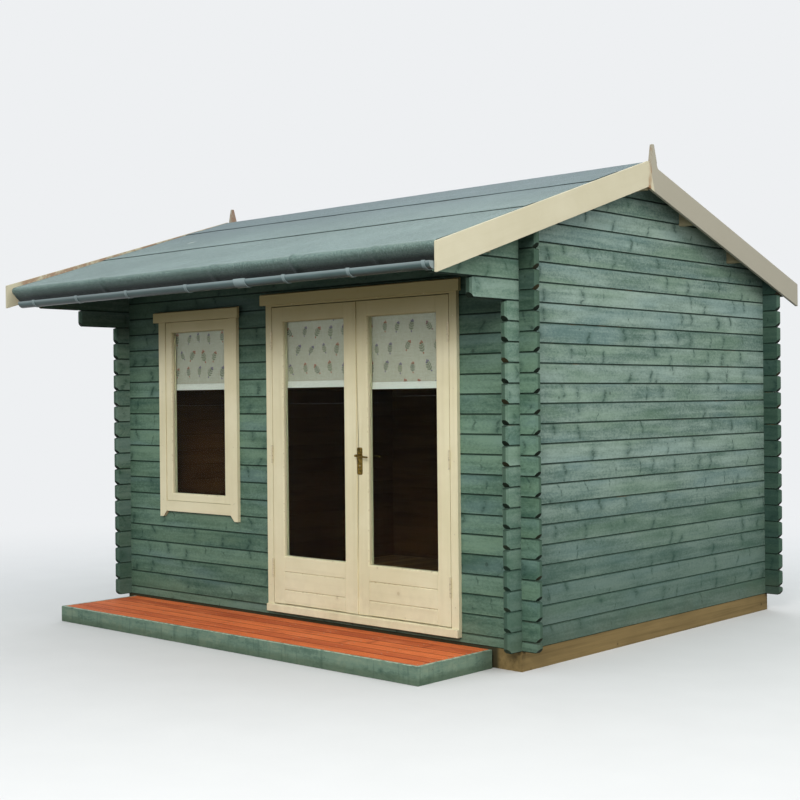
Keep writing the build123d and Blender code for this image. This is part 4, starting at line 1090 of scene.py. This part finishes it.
# The front and back walls take a darker, greener copy of the stain: partly their own tone, partly painted
# shade
side_logs = stained_logs("side_logs", "Y", 0.0, (138, 157, 145), (69, 94, 83), 0.58)
front_logs = stained_logs("front_logs", "X", 0.5, (112, 140, 120), (58, 86, 72), 0.12)
felt = felt_material()
bitumen = bitumen_material()
deck_wood = timber("deck_wood", "X", (214, 114, 60), (164, 74, 38), rough=0.62, knot_share=0.35,
                   boards=(lambda s: s.minus(s.y, DECK_FRONT - DECK_GAP / 2), DECK_PITCH),
                   weather_and_painted_light=deck_weather)
fascia_wood = timber("fascia_wood", "X", (122, 144, 124), (96, 120, 104), "Y",
                     lambda s: s.step(s.y, DECK_FRONT - 0.0002, DECK_FRONT), knot_share=0.5,
                     weather_and_painted_light=fascia_weather)
bearer_wood = timber("bearer_wood", "Y", (142, 120, 78), (98, 82, 50), weather_and_painted_light=painted_bearer_shadow)
floor_wood = timber("floor_wood", "Y", (176, 142, 92), (128, 96, 56), boards=(lambda s: s.x, ROOM_BOARD),
                    rough=0.55)
roof_wood = timber("roof_wood", "slope", (182, 150, 100), (132, 102, 62),
                   boards=(lambda s: s.x, ROOM_BOARD))
eaves_wood = timber("eaves_wood", "X", (150, 136, 102), (104, 90, 62))
purlin_wood = timber("purlin_wood", "X", (152, 144, 114), (120, 112, 86), knot_share=0.3)
upright_paint = paint("upright_paint", "Z")
level_paint = paint("level_paint", "X")
door_frame_paint = paint("door_frame_paint", "Z", "X",
                         lambda s: s.step(s.z, DOOR_HEAD_FOOT - 0.0001, DOOR_HEAD_FOOT + 0.0001))
window_frame_paint = paint("window_frame_paint", "X", "Z", beyond(0.3469))
sash_paint = paint("sash_paint", "X", "Z", beyond(0.2819))
barge_paint = paint("barge_paint", "slope", stain=ridge_stain, grey_and_shade=behind_joint)
glass = glass_material()
brass = brass_material()
painted_hinge = hinge_material()
zinc = zinc_material()
gutter_plastic = plastic_material("gutter_plastic", (76, 100, 100), (54, 73, 71), 0.42)
clip_plastic = plastic_material("clip_plastic", (120, 138, 138), (96, 112, 112), 0.30)
white_plastic = plastic_material("white_plastic", (222, 220, 212), (204, 202, 192))
linen = linen_material()
hem_linen = hem_material()

dress(["left_gable_wall", "right_gable_wall"], side_logs)
dress(["front_sill_log", "front_wall_under_window", "front_wall_left", "front_wall_middle",
       "front_wall_right", "front_wall_top", "back_wall"], front_logs)
dress(["floor_bearers", "deck_joists"], bearer_wood)
dress(["floor_boards"], floor_wood)
dress(["front_roof_boards", "rear_roof_boards"], roof_wood)
dress(["eaves_boards"], eaves_wood)
dress(["ridge_beam", "front_purlins", "rear_purlins"], purlin_wood)
dress(["left_bargeboards", "right_bargeboards"], barge_paint)
dress(["deck_fascia"], fascia_wood)
dress(["door_frame"], door_frame_paint)
dress(["window_frame"], window_frame_paint)
dress(["window_sash"], sash_paint)
dress(["left_door_stiles", "right_door_stiles", "door_cover_strip"], upright_paint)
dress(["left_door_rails", "right_door_rails", "door_sill", "door_head_board", "window_head_board"],
      level_paint)
dress(["left_door_glass", "right_door_glass", "window_glass"], glass)
dress(["lock_plates", "lever_handles"], brass)
dress(["door_frame_hinges", "left_door_hinges", "right_door_hinges"], painted_hinge)
dress(["gutter"], gutter_plastic)
dress(["gutter_brackets"], clip_plastic)

bevelled(["door_frame", "window_frame", "window_sash", "door_sill", "door_head_board", "window_head_board",
          "left_door_stiles", "right_door_stiles"], 0.0022)
bevelled(["left_door_rails", "right_door_rails", "door_cover_strip"], 0.0014)
bevelled(["left_bargeboards", "right_bargeboards", "deck_fascia", "ridge_beam", "front_purlins",
          "rear_purlins"], 0.003)

make_felt()
make_deck_boards()
make_blind("left_blind", "left_door_blind", "left_door_stiles", "left_door")
make_blind("right_blind", "right_door_blind", "right_door_stiles", "right_door")
make_blind("window_roller", "window_blind", "window_sash", "cabin")
make_screws()

make_stage()
make_world()
lamp("key", (10.4, -0.6, 6.0), (1.8, 0.0, 1.4), 5.0, 300.0, (1.0, 0.98, 0.94))
lamp("front", (5.2, -8.2, 4.6), (0.3, -1.4, 1.1), 3.2, 410.0, (1.0, 0.98, 0.94))
lamp("back", (-6.0, 9.0, 6.0), (0.0, 0.0, 1.5), 6.0, 320.0, (0.97, 0.98, 1.0))
make_camera()
bpy.context.scene.view_settings.view_transform = "Standard"
